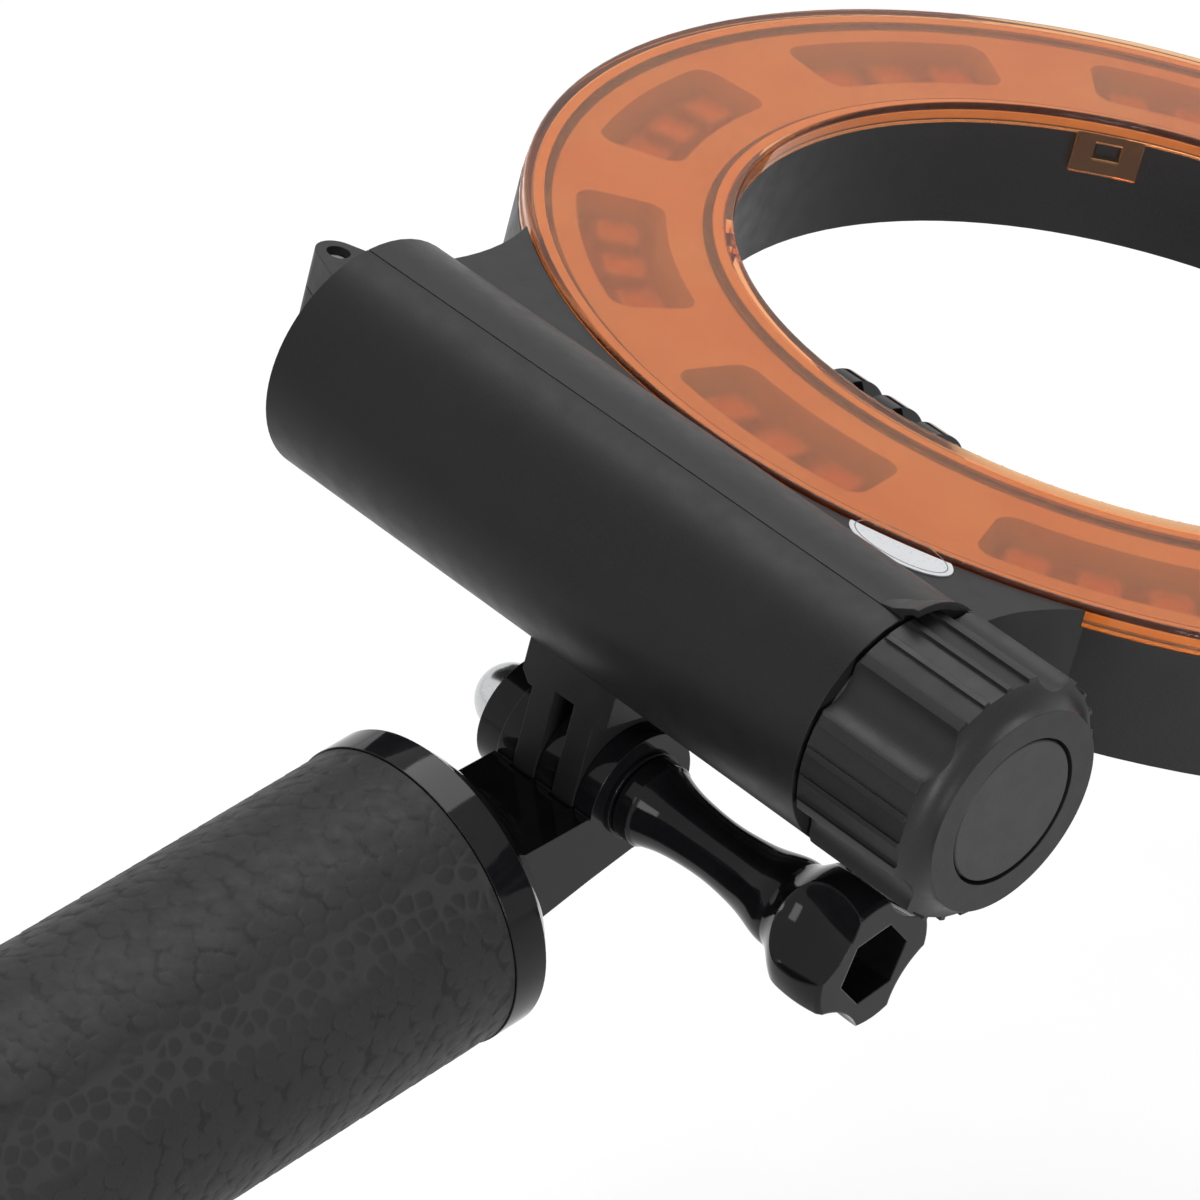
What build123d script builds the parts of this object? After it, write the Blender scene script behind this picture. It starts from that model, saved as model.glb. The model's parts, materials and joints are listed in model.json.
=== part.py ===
from build123d import *

import os
from math import asin, atan2, cos, degrees, pi, radians, sin, sqrt

# Underwater ring light on a hand grip, in millimetres.
# The head frame has its origin at the ring's centre on the filter's face. Its X runs along
# the battery barrel towards the cap, its Y from the barrel towards the ring's centre and
# its Z out of the lit face. The whole lamp leans on the ring's far edge and the grip's end.

os.makedirs("parts", exist_ok=True)

# Ring: filter, walls and depth
filter_r = 73.0
filter_bore_share = 0.67
filter_plate = 1.2
skirt_height = 2.5
skirt_wall = 1.1
skirt_bead = 0.15
seat_gap = 0.1
shoulder_width = 0.2
ring_depth = 16.5
rim_wall = 1.2
ledge_width = 0.9

# Lamp stack under the filter
lens_thickness = 1.0
seal_thickness = 0.3
mask_thickness = 3.4
board_thickness = 1.6
window_count = 10
window_half_angle = 12.1
window_inset = 4.3
window_outset = 2.9
window_start = 270.0
window_corner = 2.4
window_taper = 14.0
led_size = 5.0
led_height = 1.4
driver_half_angle = 31.0
led_step_angle = 7.4
leds_per_window = 3

# Filter clips
clip_count = 4
clip_start = 136.7
clip_width = 8.2
clip_drop = 5.1
clip_wall = 0.8
clip_slot = (3.4, 2.3)
nub_size = (2.8, 1.3)

# Rear cover of the ring
cover_thickness = 1.85
cover_seal_thickness = 0.5
cover_ledge = 1.2
cover_screw_count = 8
cover_screw_r = 0.9
boss_r = 2.4

# Battery barrel
barrel_reach = 11.6
barrel_drop = 9.4
barrel_r = 14.05
barrel_half = 40.0
barrel_wall = 1.8
split_angle = 103.8
split_gap = 0.12
tube_wall = 2.0
tube_gap = 0.2
neck_wall = 1.75
neck_length = 7.5
cell_r = 9.2
cell_length = 65.2
cell_gap = 0.35
contact_thickness = 0.6
spring_wire = 0.8
spring_turns = 5
thread_pitch = 2.0

# Web between the ring and the barrel
web_top = -0.5
web_right_waist = 39.2
web_left_waist = 41.1
web_waist_inset = 2.0
web_right_corner = 42.9
web_left_corner = 44.2
hood_r = 10.5
hood_side = 1.6
hood_lift = 5.6
hood_lip = 0.8
hood_length = 2.0
hood_run = 4.0

# Blank label on the web
label_x = 24.6
label_inset = 3.0
label_turn = 8.0
label_length = 12.8
label_width = 6.6

# Screw lug at the barrel's blind end
lug_reach = 6.9
lug_tip_r = 2.6
lug_root_half = 5.6
lug_top = 9.0
lug_thickness = 4.4
lug_hole_r = 1.35
lug_screw_r = 0.8

# Cap
cap_r = 14.3
cap_length = 16.85
cap_start_gap = 0.45
cap_rounding = 2.6
cap_clearance = 0.1
flute_count = 5
flute_r = 4.3
flute_depth = 1.8
flute_start = 145.0
rib_step = 0.45
rib_angle = 13.0
strip_width = 2.5
disc_r = 8.2
disc_groove = 0.35
disc_thickness = 1.6

# Grip joint under the barrel
pivot_x = 4.45
pivot_drop = 25.45
finger_r = 7.5
mount_finger = 3.1
mount_gap = 2.9
finger_play = 0.1
root_half = 6.45
root_height = 2.95
root_chamfer = 1.2
bolt_r = 2.45
bolt_hole_r = 2.6
adapter_outer = 2.6
adapter_r = 7.3
nut_boss = 3.4
nut_flat = 8.0
nut_dome_r = 4.0
nut_seat = 4.6
nut_play = 0.15

# Camera mount inside the ring
camera_x = -6.1
camera_inset = 11.5
camera_z = -14.6
camera_finger = 3.0
camera_pitch = 6.2
camera_foot = 3.6
camera_foot_height = 7.4

# Thumb screw
washer_thickness = 0.5
washer_r = 5.2
knob_length = 34.2
knob_base_r = 4.9
knob_waist_r = 3.5
knob_throat_r = 5.15
knob_lobe_r = 8.75
knob_lobes = 4
scoop_turn = 63.0
scoop_start = 24.7
scoop_r = 9.0
scoop_axis_r = 14.6
hexagon_turn = 19.5
knob_recess_flat = 8.3
knob_recess_depth = 8.5
bolt_head_height = 3.5
bolt_head_flat = 8.0
bolt_thread_play = 0.05

# Hand grip
grip_drop_angle = 16.0
grip_offset = 3.0
collar_start = 22.6
collar_length = 4.6
collar_r = 17.4
neck_start = 14.6
grip_r = 17.2
grip_wall = 2.2
grip_length = 119.0
core_wall = 2.4
end_cap_length = 9.0
end_cap_r = 17.6
plug_length = 8.0
plug_play = 0.15
lanyard_hole_r = 2.2

# Fits that follow from the sizes above
filter_bore_r = round(filter_bore_share * filter_r, 1)
rim_in = filter_bore_r + skirt_wall + seat_gap
rim_out = filter_r - skirt_wall - seat_gap
housing_r = filter_r + shoulder_width
lens_in = rim_in + rim_wall
lens_out = rim_out - rim_wall
open_in = lens_in + ledge_width
open_out = lens_out - ledge_width
cavity_in = open_in
cavity_out = lens_out
rim_top = -filter_plate - 0.15
lens_top = rim_top
ledge_z = lens_top - lens_thickness - seal_thickness
shoulder_z = -skirt_height - seat_gap
mask_top = ledge_z + 0.1
board_top = mask_top - mask_thickness
board_bottom = board_top - board_thickness
rear_z = -ring_depth
cover_top = rear_z + cover_thickness
cover_ledge_z = cover_top + cover_seal_thickness
recess_out = cavity_out + cover_ledge
window_in = open_in + window_inset
window_out = open_out - window_outset
window_mid = (window_in + window_out) / 2

barrel_y = -(housing_r + barrel_reach)
web_waist_drop = filter_r - web_waist_inset
label_y = -(filter_r - label_inset)
camera_y = -(filter_bore_r - camera_inset)
barrel_z = -barrel_drop
bore_r = barrel_r - barrel_wall
tube_r = bore_r - tube_gap
cell_bore_r = cell_r + cell_gap
cap_start = barrel_half + cap_start_gap
cap_end = cap_start + cap_length
neck_end = barrel_half + neck_length
neck_r = cell_r + cell_gap + neck_wall
cap_bore_r = neck_r + cap_clearance
cap_shoulder = neck_end + 0.4
tube_back = -barrel_half + barrel_wall + tube_gap
cell_bore_back = tube_back + tube_wall
tube_spring_start = cell_bore_back + contact_thickness
cap_contact_face = cap_shoulder - contact_thickness
cell_end = cap_contact_face - 3.6
cell_start = cell_end - cell_length
lug_x = -barrel_half - lug_reach

driver_top = cover_ledge_z + 1.9
lead_x = -30.6
lead_z = driver_top + 0.65
lead_tube_y = barrel_y + sqrt(tube_r**2 - (lead_z - barrel_z) ** 2) + 0.15
passage_end_y = -sqrt(cavity_out**2 - (lead_x - 3.0) ** 2) + 1.5
lead_length = -0.8 * cavity_out - lead_tube_y

pivot_y = barrel_y
pivot_z = barrel_z - pivot_drop
mount_left = pivot_x - mount_gap / 2 - mount_finger
mount_right = pivot_x + mount_gap / 2 + mount_finger
adapter_left = mount_left - finger_play - adapter_outer
adapter_right = mount_right + finger_play + adapter_outer
boss_left = adapter_left - nut_boss
washer_start = adapter_right + 0.05
knob_start = washer_start + washer_thickness + 0.05
knob_end = knob_start + knob_length
grip_start = collar_start + collar_length
grip_end = grip_start + grip_length
end_cap_end = grip_end + end_cap_length
core_r = grip_r - grip_wall
core_bore_r = core_r - core_wall
lanyard_s = grip_end + end_cap_length / 2

# Rest on the table: the ring's far rear edge and the end cap's lower rim touch one plane
grip_a = radians(grip_drop_angle)
rim_touch_y = pivot_y - end_cap_end * cos(grip_a) + (end_cap_r + grip_offset) * sin(grip_a)
rim_touch_z = pivot_z - end_cap_end * sin(grip_a) - (end_cap_r + grip_offset) * cos(grip_a)
lean = atan2(rear_z - rim_touch_z, housing_r - rim_touch_y)

# Where the lanyard hole crosses the grip's centre line
lanyard_y = pivot_y - lanyard_s * cos(grip_a) + grip_offset * sin(grip_a)
lanyard_z = pivot_z - lanyard_s * sin(grip_a) - grip_offset * cos(grip_a)

head = Plane(origin=(0, 0, 0), x_dir=(1, 0, 0), z_dir=(0, sin(lean), cos(lean)))
head_axis = Axis((0, 0, 0), head.z_dir)
ring_section = Plane(origin=(0, 0, 0), x_dir=(1, 0, 0), z_dir=-head.y_dir)


def spot(x, y, z):
    # A point of the head frame in the lamp's own frame
    return head.from_local_coords(Vector(x, y, z))


def at(z):
    # A plane parallel to the lit face
    return head.offset(z)


def across(x, y=0.0, z=0.0):
    # A plane square to the barrel, with local axes along the head's Y and Z
    return Plane(origin=spot(x, y, z), x_dir=head.y_dir, z_dir=(1, 0, 0))


def split_plane(x):
    # A plane square to the barrel whose local Y runs up the seam of its two halves
    seam = radians(split_angle - 90)
    return Plane(
        origin=spot(x, barrel_y, barrel_z),
        x_dir=head.y_dir * cos(seam) + head.z_dir * sin(seam),
        z_dir=(1, 0, 0),
    )


def along_grip(s):
    # A plane square to the grip's own centre line at a distance s from the joint
    return Plane(
        origin=spot(
            pivot_x,
            pivot_y - s * cos(grip_a) + grip_offset * sin(grip_a),
            pivot_z - s * sin(grip_a) - grip_offset * cos(grip_a),
        ),
        x_dir=(1, 0, 0),
        z_dir=-head.y_dir * cos(grip_a) - head.z_dir * sin(grip_a),
    )


def grip_side(x):
    # A plane square to the joint's axis, with local X along the grip and local Y up
    out = -head.y_dir * cos(grip_a) - head.z_dir * sin(grip_a)
    return Plane(origin=spot(x, pivot_y, pivot_z), x_dir=out, z_dir=(-1, 0, 0))


def save(item, name):
    item.part.label = name
    export_step(item.part, f"parts/{name}.step")


# One lamp window: a ring sector with round corners, centred on the local X axis
with BuildSketch() as window:
    with BuildLine():
        outer = CenterArc((0, 0), window_out, -window_half_angle, 2 * window_half_angle)
        inner = CenterArc((0, 0), window_in, -window_half_angle, 2 * window_half_angle)
        Line(inner @ 0, outer @ 0)
        Line(inner @ 1, outer @ 1)
    make_face()
    fillet(window.vertices(), window_corner)

# Plan of the web: two waisted sides between the barrel and the ring
with BuildSketch() as web_plan:
    right_y = -sqrt((housing_r - 0.4) ** 2 - web_right_corner**2)
    left_y = -sqrt((housing_r - 0.4) ** 2 - web_left_corner**2)
    valley_y = barrel_y + 0.85 * barrel_r
    with BuildLine():
        Polyline(
            (web_right_waist, valley_y),
            (web_right_waist, barrel_y),
            (-barrel_half, barrel_y),
            (-barrel_half, valley_y - 3.0),
            (-web_left_waist, valley_y),
        )
        Spline(
            (-web_left_waist, valley_y),
            (-web_left_waist - 0.4, (valley_y + left_y) / 2),
            (-web_left_corner, left_y),
        )
        Line((-web_left_corner, left_y), (web_right_corner, right_y))
        Spline(
            (web_right_corner, right_y),
            (web_right_waist + 0.5, (valley_y + right_y) / 2),
            (web_right_waist, valley_y),
        )
    make_face()

# Plan of the screw lug: a round tip widening to the barrel's end
with BuildSketch() as lug_plan:
    with Locations((lug_x, barrel_y)):
        Circle(lug_tip_r)
    with Locations((-barrel_half - split_gap - 0.25, barrel_y)):
        Rectangle(0.5, 2 * lug_root_half)
    make_hull()

# Front housing: ring channel, web, inner half of the barrel, hood and upper lug
with BuildPart() as front_housing:
    with BuildSketch(ring_section):
        Polygon(
            (open_out, rear_z),
            (housing_r, rear_z),
            (housing_r, shoulder_z),
            (rim_out, shoulder_z),
            (rim_out, rim_top),
            (open_out, rim_top),
            align=None,
        )
    revolve(axis=head_axis)
    with BuildSketch(at(rear_z)):
        add(web_plan.sketch)
        Circle(housing_r - 0.5, mode=Mode.SUBTRACT)
    extrude(amount=web_top - rear_z)
    with BuildSketch(split_plane(-barrel_half)):
        Circle(barrel_r)
        with Locations((split_gap / 2 + barrel_r, 0)):
            Rectangle(2 * barrel_r, 3 * barrel_r, mode=Mode.INTERSECT)
    extrude(amount=2 * barrel_half)
    # Hood that flares out over the cap's rear end
    hood_spot = spot(0, barrel_y - hood_side, barrel_z + hood_lift)
    hood_plane = Plane(origin=hood_spot, x_dir=(1, 0, 0), z_dir=-head.y_dir)
    hood_root_r = barrel_r - sqrt(hood_side**2 + hood_lift**2) - 0.2
    with BuildSketch(hood_plane):
        Polygon(
            (barrel_half - hood_run, 0),
            (barrel_half - hood_run, hood_root_r),
            (barrel_half - 1.4, hood_root_r + 0.7),
            (barrel_half + hood_length - 0.8, hood_r - 0.25),
            (barrel_half + hood_length, hood_r),
            (barrel_half + hood_length, 0),
            align=None,
        )
    revolve(axis=Axis(hood_spot, (1, 0, 0)))
    with BuildSketch(hood_plane):
        Polygon(
            (barrel_half, 0),
            (barrel_half, hood_root_r + 1.5 - hood_lip),
            (barrel_half + hood_length - 0.8, hood_r - 0.25 - hood_lip),
            (barrel_half + hood_length + 0.5, hood_r - hood_lip),
            (barrel_half + hood_length + 0.5, 0),
            align=None,
        )
    revolve(axis=Axis(hood_spot, (1, 0, 0)), mode=Mode.SUBTRACT)
    with BuildSketch(across(barrel_half, barrel_y, barrel_z)):
        Circle(cap_r + 0.25)
    extrude(amount=hood_length + 0.5, mode=Mode.SUBTRACT)
    with BuildSketch(split_plane(barrel_half - hood_run - 0.5)):
        with Locations((split_gap / 2 - 2 * barrel_r, 0)):
            Rectangle(4 * barrel_r, 4 * barrel_r)
    extrude(amount=hood_run + hood_length + 1.0, mode=Mode.SUBTRACT)
    with BuildSketch(at(web_top)):
        Polygon(
            (barrel_half + hood_length + 0.2, barrel_y + 5.0),
            (web_right_waist, barrel_y + 12.4),
            (web_right_waist, barrel_y + barrel_r + 2.0),
            (barrel_half + 10.0, barrel_y + barrel_r + 2.0),
            (barrel_half + 10.0, barrel_y + 5.0),
            align=None,
        )
    extrude(amount=2 * barrel_r, mode=Mode.SUBTRACT)
    # Upper half of the screw lug
    with BuildSketch(at(barrel_z + lug_top)):
        add(lug_plan.sketch)
    extrude(amount=-lug_thickness)
    with BuildSketch(at(barrel_z + lug_top)):
        with Locations((-barrel_half, barrel_y + lug_root_half / 2)):
            Rectangle(1.2, lug_root_half - 1.0)
    extrude(amount=-lug_thickness)
    with BuildSketch(split_plane(-barrel_half)):
        Circle(barrel_r + split_gap)
        with Locations((split_gap / 2 - 2 * barrel_r, 0)):
            Rectangle(4 * barrel_r, 4 * barrel_r, mode=Mode.INTERSECT)
    extrude(amount=2 * barrel_half, mode=Mode.SUBTRACT)
    # Filter seat, lens recess, lamp opening, ring cavity and cover recess
    with BuildSketch(at(shoulder_z)):
        Circle(filter_r + skirt_bead + 0.15)
        Circle(rim_out, mode=Mode.SUBTRACT)
    extrude(amount=barrel_r, mode=Mode.SUBTRACT)
    with BuildSketch(at(rim_top)):
        Circle(rim_out + 0.5)
    extrude(amount=barrel_r, mode=Mode.SUBTRACT)
    with BuildSketch(at(ledge_z)):
        Circle(lens_out)
    extrude(amount=barrel_r, mode=Mode.SUBTRACT)
    with BuildSketch(at(rear_z)):
        Circle(open_out)
    extrude(amount=2 * barrel_r, mode=Mode.SUBTRACT)
    with BuildSketch(at(rear_z)):
        Circle(cavity_out)
    extrude(amount=board_top - rear_z, mode=Mode.SUBTRACT)
    with BuildSketch(at(rear_z)):
        Circle(recess_out)
    extrude(amount=cover_ledge_z - rear_z, mode=Mode.SUBTRACT)
    # Room for the battery tube and the leads' passage
    with BuildSketch(across(-barrel_half + barrel_wall, barrel_y, barrel_z)):
        Circle(bore_r)
    extrude(amount=2 * barrel_half + 5.0, mode=Mode.SUBTRACT)
    with BuildSketch(across(lead_x - 3.0, (barrel_y + passage_end_y) / 2, barrel_z - 1.3)):
        Rectangle(passage_end_y - barrel_y, 4.0)
    extrude(amount=6.0, mode=Mode.SUBTRACT)
    # Cover screw bosses on the outer wall
    with BuildSketch(at(cover_ledge_z)):
        with PolarLocations(cavity_out - boss_r * 0.6, cover_screw_count, start_angle=22.5):
            Circle(boss_r)
            Circle(cover_screw_r, mode=Mode.SUBTRACT)
    extrude(amount=board_bottom - 0.4 - cover_ledge_z)
    # Screw hole through the upper lug with a recess for the head
    with BuildSketch(at(barrel_z + lug_top)):
        with Locations((lug_x, barrel_y)):
            Circle(lug_hole_r)
    extrude(amount=-lug_thickness * 0.55, mode=Mode.SUBTRACT)
    with BuildSketch(at(barrel_z + lug_top)):
        with Locations((lug_x, barrel_y)):
            Circle(lug_screw_r + 0.1)
    extrude(amount=-lug_thickness * 1.2, mode=Mode.SUBTRACT)
save(front_housing, "front_housing")

# Outer half of the barrel with the grip joint's two fingers and the lower lug
with BuildPart() as barrel_shell:
    with BuildSketch(split_plane(-barrel_half)):
        Circle(barrel_r)
        with Locations((-split_gap / 2 - barrel_r, 0)):
            Rectangle(2 * barrel_r, 3 * barrel_r, mode=Mode.INTERSECT)
    extrude(amount=2 * barrel_half)
    root_bottom = barrel_z - barrel_r - root_height
    with BuildSketch(Plane(origin=spot(0, pivot_y - finger_r, 0), x_dir=(1, 0, 0), z_dir=-head.y_dir)):
        Polygon(
            (pivot_x - root_half, barrel_z - barrel_r / 2),
            (pivot_x + root_half, barrel_z - barrel_r / 2),
            (pivot_x + root_half, root_bottom + root_chamfer),
            (pivot_x + root_half - root_chamfer, root_bottom),
            (pivot_x - root_half + root_chamfer, root_bottom),
            (pivot_x - root_half, root_bottom + root_chamfer),
            align=None,
        )
    extrude(amount=-2 * finger_r)
    with BuildSketch(across(mount_left, pivot_y, pivot_z)):
        Circle(finger_r)
        with Locations((0, (root_bottom - pivot_z) / 2)):
            Rectangle(2 * finger_r, root_bottom - pivot_z)
    extrude(amount=mount_finger * 2 + mount_gap)
    with BuildSketch(across(pivot_x - mount_gap / 2, pivot_y, pivot_z)):
        with Locations((0, (root_bottom + 1.2 - pivot_z - finger_r) / 2)):
            Rectangle(3 * finger_r, root_bottom + 1.2 - pivot_z + finger_r)
    extrude(amount=mount_gap, mode=Mode.SUBTRACT)
    with BuildSketch(across(mount_left - 1, pivot_y, pivot_z)):
        Circle(bolt_hole_r)
    extrude(amount=3 * mount_finger + 2 * mount_gap, mode=Mode.SUBTRACT)
    with BuildSketch(split_plane(-barrel_half - 1)):
        Circle(barrel_r + split_gap)
        with Locations((-split_gap / 2 + 2 * barrel_r, 0)):
            Rectangle(4 * barrel_r, 4 * barrel_r, mode=Mode.INTERSECT)
    extrude(amount=2 * barrel_half + 2, mode=Mode.SUBTRACT)
    with BuildSketch(across(-barrel_half + barrel_wall, barrel_y, barrel_z)):
        Circle(bore_r)
    extrude(amount=2 * barrel_half + 5.0, mode=Mode.SUBTRACT)
    # Lower half of the screw lug with its pilot hole
    lower_lug_top = barrel_z + lug_top - lug_thickness - split_gap
    with BuildSketch(at(lower_lug_top)):
        add(lug_plan.sketch)
    extrude(amount=-lug_thickness)
    with BuildSketch(at(lower_lug_top)):
        with Locations((-barrel_half, barrel_y - lug_root_half / 2 - 1.0)):
            Rectangle(1.2, lug_root_half - 2.4)
    extrude(amount=-lug_thickness)
    with BuildSketch(at(lower_lug_top)):
        with Locations((lug_x, barrel_y)):
            Circle(lug_screw_r)
    extrude(amount=-lug_thickness * 0.8, mode=Mode.SUBTRACT)
save(barrel_shell, "barrel_shell")

# Screw that holds the two lug halves together
with BuildPart() as lug_screw:
    head_z = barrel_z + lug_top - lug_thickness * 0.55
    with BuildSketch(at(head_z + 0.02)):
        with Locations((lug_x, barrel_y)):
            Circle(lug_hole_r - 0.1)
    extrude(amount=1.4)
    with BuildSketch(at(head_z + 0.02)):
        with Locations((lug_x, barrel_y)):
            Circle(lug_screw_r)
    extrude(amount=-lug_thickness * 1.1)
    with BuildSketch(at(head_z + 1.42)):
        with Locations((lug_x, barrel_y)):
            Rectangle(1.7, 0.4)
            Rectangle(0.4, 1.7)
    extrude(amount=-0.7, mode=Mode.SUBTRACT)
save(lug_screw, "lug_screw")

# Rear cover of the ring with the ring's inner wall, its seal and its screws
with BuildPart() as rear_cover:
    with BuildSketch(ring_section):
        Polygon(
            (rim_in, rear_z),
            (recess_out - seat_gap, rear_z),
            (recess_out - seat_gap, cover_top),
            (cavity_in, cover_top),
            (cavity_in, ledge_z),
            (lens_in, ledge_z),
            (lens_in, rim_top),
            (rim_in, rim_top),
            align=None,
        )
    revolve(axis=head_axis)
    with BuildSketch(at(rear_z)):
        with PolarLocations(cavity_out - boss_r * 0.6, cover_screw_count, start_angle=22.5):
            Circle(cover_screw_r + 0.2)
    extrude(amount=cover_thickness, mode=Mode.SUBTRACT)
    with BuildSketch(at(rear_z)):
        with PolarLocations(cavity_out - boss_r * 0.6, cover_screw_count, start_angle=22.5):
            Circle(cover_screw_r * 2 + 0.1)
    extrude(amount=0.9, mode=Mode.SUBTRACT)
    # Nubs that show in the filter's clips
    for k in range(clip_count):
        turn = radians(clip_start + 360 / clip_count * k)
        out = head.x_dir * cos(turn) + head.y_dir * sin(turn)
        nub_z = -skirt_height - clip_drop * 0.42
        nub_r = rim_in - clip_wall * 0.35
        with BuildSketch(
            Plane(origin=spot(nub_r * cos(turn), nub_r * sin(turn), nub_z), x_dir=head.z_dir, z_dir=out)
        ):
            Rectangle(nub_size[1], nub_size[0])
        extrude(amount=rim_wall * 0.8)
save(rear_cover, "rear_cover")

with BuildPart() as cover_seal:
    with BuildSketch(at(cover_top)):
        Circle(recess_out - seat_gap)
        Circle(cavity_out + seat_gap, mode=Mode.SUBTRACT)
    extrude(amount=cover_seal_thickness)
save(cover_seal, "cover_seal")

with BuildPart() as cover_screws:
    with BuildSketch(at(rear_z + 0.05)):
        with PolarLocations(cavity_out - boss_r * 0.6, cover_screw_count, start_angle=22.5):
            Circle(cover_screw_r * 2)
    extrude(amount=0.8)
    with BuildSketch(at(rear_z + 0.05)):
        with PolarLocations(cavity_out - boss_r * 0.6, cover_screw_count, start_angle=22.5):
            Circle(cover_screw_r - 0.02)
    extrude(amount=6.5)
    with BuildSketch(at(rear_z + 0.05)):
        with PolarLocations(cavity_out - boss_r * 0.6, cover_screw_count, start_angle=22.5):
            Rectangle(2.2, 0.45)
            Rectangle(0.45, 2.2)
    extrude(amount=0.5, mode=Mode.SUBTRACT)
save(cover_screws, "cover_screws")

# Clear lens ring and its two flat seals
with BuildPart() as lens_ring:
    with BuildSketch(at(lens_top)):
        Circle(lens_out - seat_gap)
        Circle(lens_in + seat_gap, mode=Mode.SUBTRACT)
    extrude(amount=-lens_thickness)
save(lens_ring, "lens_ring")

with BuildPart() as lens_seals:
    with BuildSketch(at(ledge_z)):
        Circle(lens_out - seat_gap)
        Circle(open_out + seat_gap, mode=Mode.SUBTRACT)
        Circle(open_in - seat_gap)
        Circle(lens_in + seat_gap, mode=Mode.SUBTRACT)
    extrude(amount=seal_thickness)
save(lens_seals, "lens_seals")

# Reflector mask with a tapered window for each group of lamps
with BuildPart() as reflector_mask:
    with BuildSketch(at(mask_top)):
        Circle(open_out - seat_gap)
        Circle(open_in + seat_gap, mode=Mode.SUBTRACT)
    extrude(amount=-mask_thickness)
    with BuildSketch(at(mask_top)):
        with PolarLocations(0, window_count, start_angle=window_start):
            add(window.sketch)
    extrude(amount=-mask_thickness, taper=window_taper, mode=Mode.SUBTRACT)
    with BuildSketch(at(board_top)):
        with PolarLocations(window_mid, window_count // 2, start_angle=window_start + 18):
            Circle(0.75)
    extrude(amount=2.4, mode=Mode.SUBTRACT)
save(reflector_mask, "reflector_mask")

# Circuit board under the mask, with its lamps and screws
with BuildPart() as led_board:
    with BuildSketch(at(board_top)):
        Circle(cavity_out - 0.2)
        Circle(cavity_in + 0.2, mode=Mode.SUBTRACT)
        with PolarLocations(window_mid, window_count // 2, start_angle=window_start + 18):
            Circle(0.9, mode=Mode.SUBTRACT)
    extrude(amount=-board_thickness)
save(led_board, "led_board")

led_angles = [
    window_start + 360 / window_count * k + led_step_angle * (j - (leds_per_window - 1) / 2)
    for k in range(window_count)
    for j in range(leds_per_window)
]
with BuildPart() as leds:
    with BuildSketch(at(board_top)):
        for angle in led_angles:
            with PolarLocations(window_mid, 1, start_angle=angle):
                Rectangle(led_size, led_size)
    extrude(amount=led_height)
save(leds, "leds")

with BuildPart() as board_screws:
    with BuildSketch(at(board_bottom)):
        with PolarLocations(window_mid, window_count // 2, start_angle=window_start + 18):
            Circle(1.6)
    extrude(amount=-1.0)
    with BuildSketch(at(board_bottom)):
        with PolarLocations(window_mid, window_count // 2, start_angle=window_start + 18):
            Circle(0.72)
    extrude(amount=board_thickness + 2.0)
save(board_screws, "board_screws")

# Driver board behind the lamps, its parts, and its leads
with BuildPart() as driver_board:
    with BuildSketch(at(driver_top)):
        with BuildLine():
            d_out = CenterArc((0, 0), cavity_out - 5.0, 270 - driver_half_angle, 2 * driver_half_angle)
            d_in = CenterArc((0, 0), cavity_in + 2.0, 270 - driver_half_angle, 2 * driver_half_angle)
            Line(d_out @ 0, d_in @ 0)
            Line(d_out @ 1, d_in @ 1)
        make_face()
    extrude(amount=-1.2)
save(driver_board, "driver_board")

with BuildPart() as driver_parts:
    with BuildSketch(at(driver_top)):
        with Locations((9.0, -window_mid + 2.2)):
            Circle(3.4)
        with Locations((-4.0, -window_mid + 2.2)):
            Rectangle(5.0, 4.0)
        with Locations((-13.0, -window_mid + 3.4)):
            Rectangle(3.2, 2.4)
        with Locations((17.5, -window_mid + 5.0)):
            Rectangle(3.0, 3.0)
    extrude(amount=2.6)
save(driver_parts, "driver_parts")

with BuildPart() as board_leads:
    with BuildSketch(at(driver_top)):
        with Locations((2.0, -window_mid - 1.2), (-8.6, -window_mid - 1.0)):
            Circle(0.6)
    extrude(amount=board_bottom - driver_top)
save(board_leads, "board_leads")

with BuildPart() as battery_leads:
    with BuildSketch(
        Plane(origin=spot(lead_x, lead_tube_y, lead_z), x_dir=(1, 0, 0), z_dir=head.y_dir)
    ):
        with Locations((-0.9, 0), (0.9, 0)):
            Circle(0.6)
    extrude(amount=lead_length)
save(battery_leads, "battery_leads")

# Battery tube: closed at the blind end, with the cap's neck at the other
with BuildPart() as battery_tube:
    with BuildSketch(across(tube_back, barrel_y, barrel_z)):
        Circle(tube_r)
    extrude(amount=barrel_half - 0.2 - tube_back)
    with BuildSketch(across(barrel_half - 1.0, barrel_y, barrel_z)):
        Circle(neck_r)
    extrude(amount=neck_end - barrel_half + 1.0)
    with BuildSketch(across(cell_bore_back, barrel_y, barrel_z)):
        Circle(cell_bore_r)
    extrude(amount=neck_end - cell_bore_back, mode=Mode.SUBTRACT)
    for seal_x in (cap_start + 1.2, cap_start + 3.6):
        with BuildSketch(across(seal_x, barrel_y, barrel_z)):
            Circle(tube_r + 1)
            Circle(neck_r - 0.9, mode=Mode.SUBTRACT)
        extrude(amount=1.3, mode=Mode.SUBTRACT)
save(battery_tube, "battery_tube")

with BuildPart() as neck_o_rings:
    for seal_x in (cap_start + 1.2, cap_start + 3.6):
        with BuildSketch(
            Plane(
                origin=spot(seal_x + 0.65, barrel_y, barrel_z),
                x_dir=head.y_dir,
                z_dir=head.z_dir,
            )
        ):
            with Locations((neck_r - 0.4, 0)):
                Circle(0.45)
        revolve(axis=Axis(spot(0, barrel_y, barrel_z), (1, 0, 0)))
save(neck_o_rings, "neck_o_rings")

with BuildPart() as tube_contact:
    with BuildSketch(across(cell_bore_back, barrel_y, barrel_z)):
        Circle(cell_r - 0.8)
    extrude(amount=contact_thickness)
save(tube_contact, "tube_contact")

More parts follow.
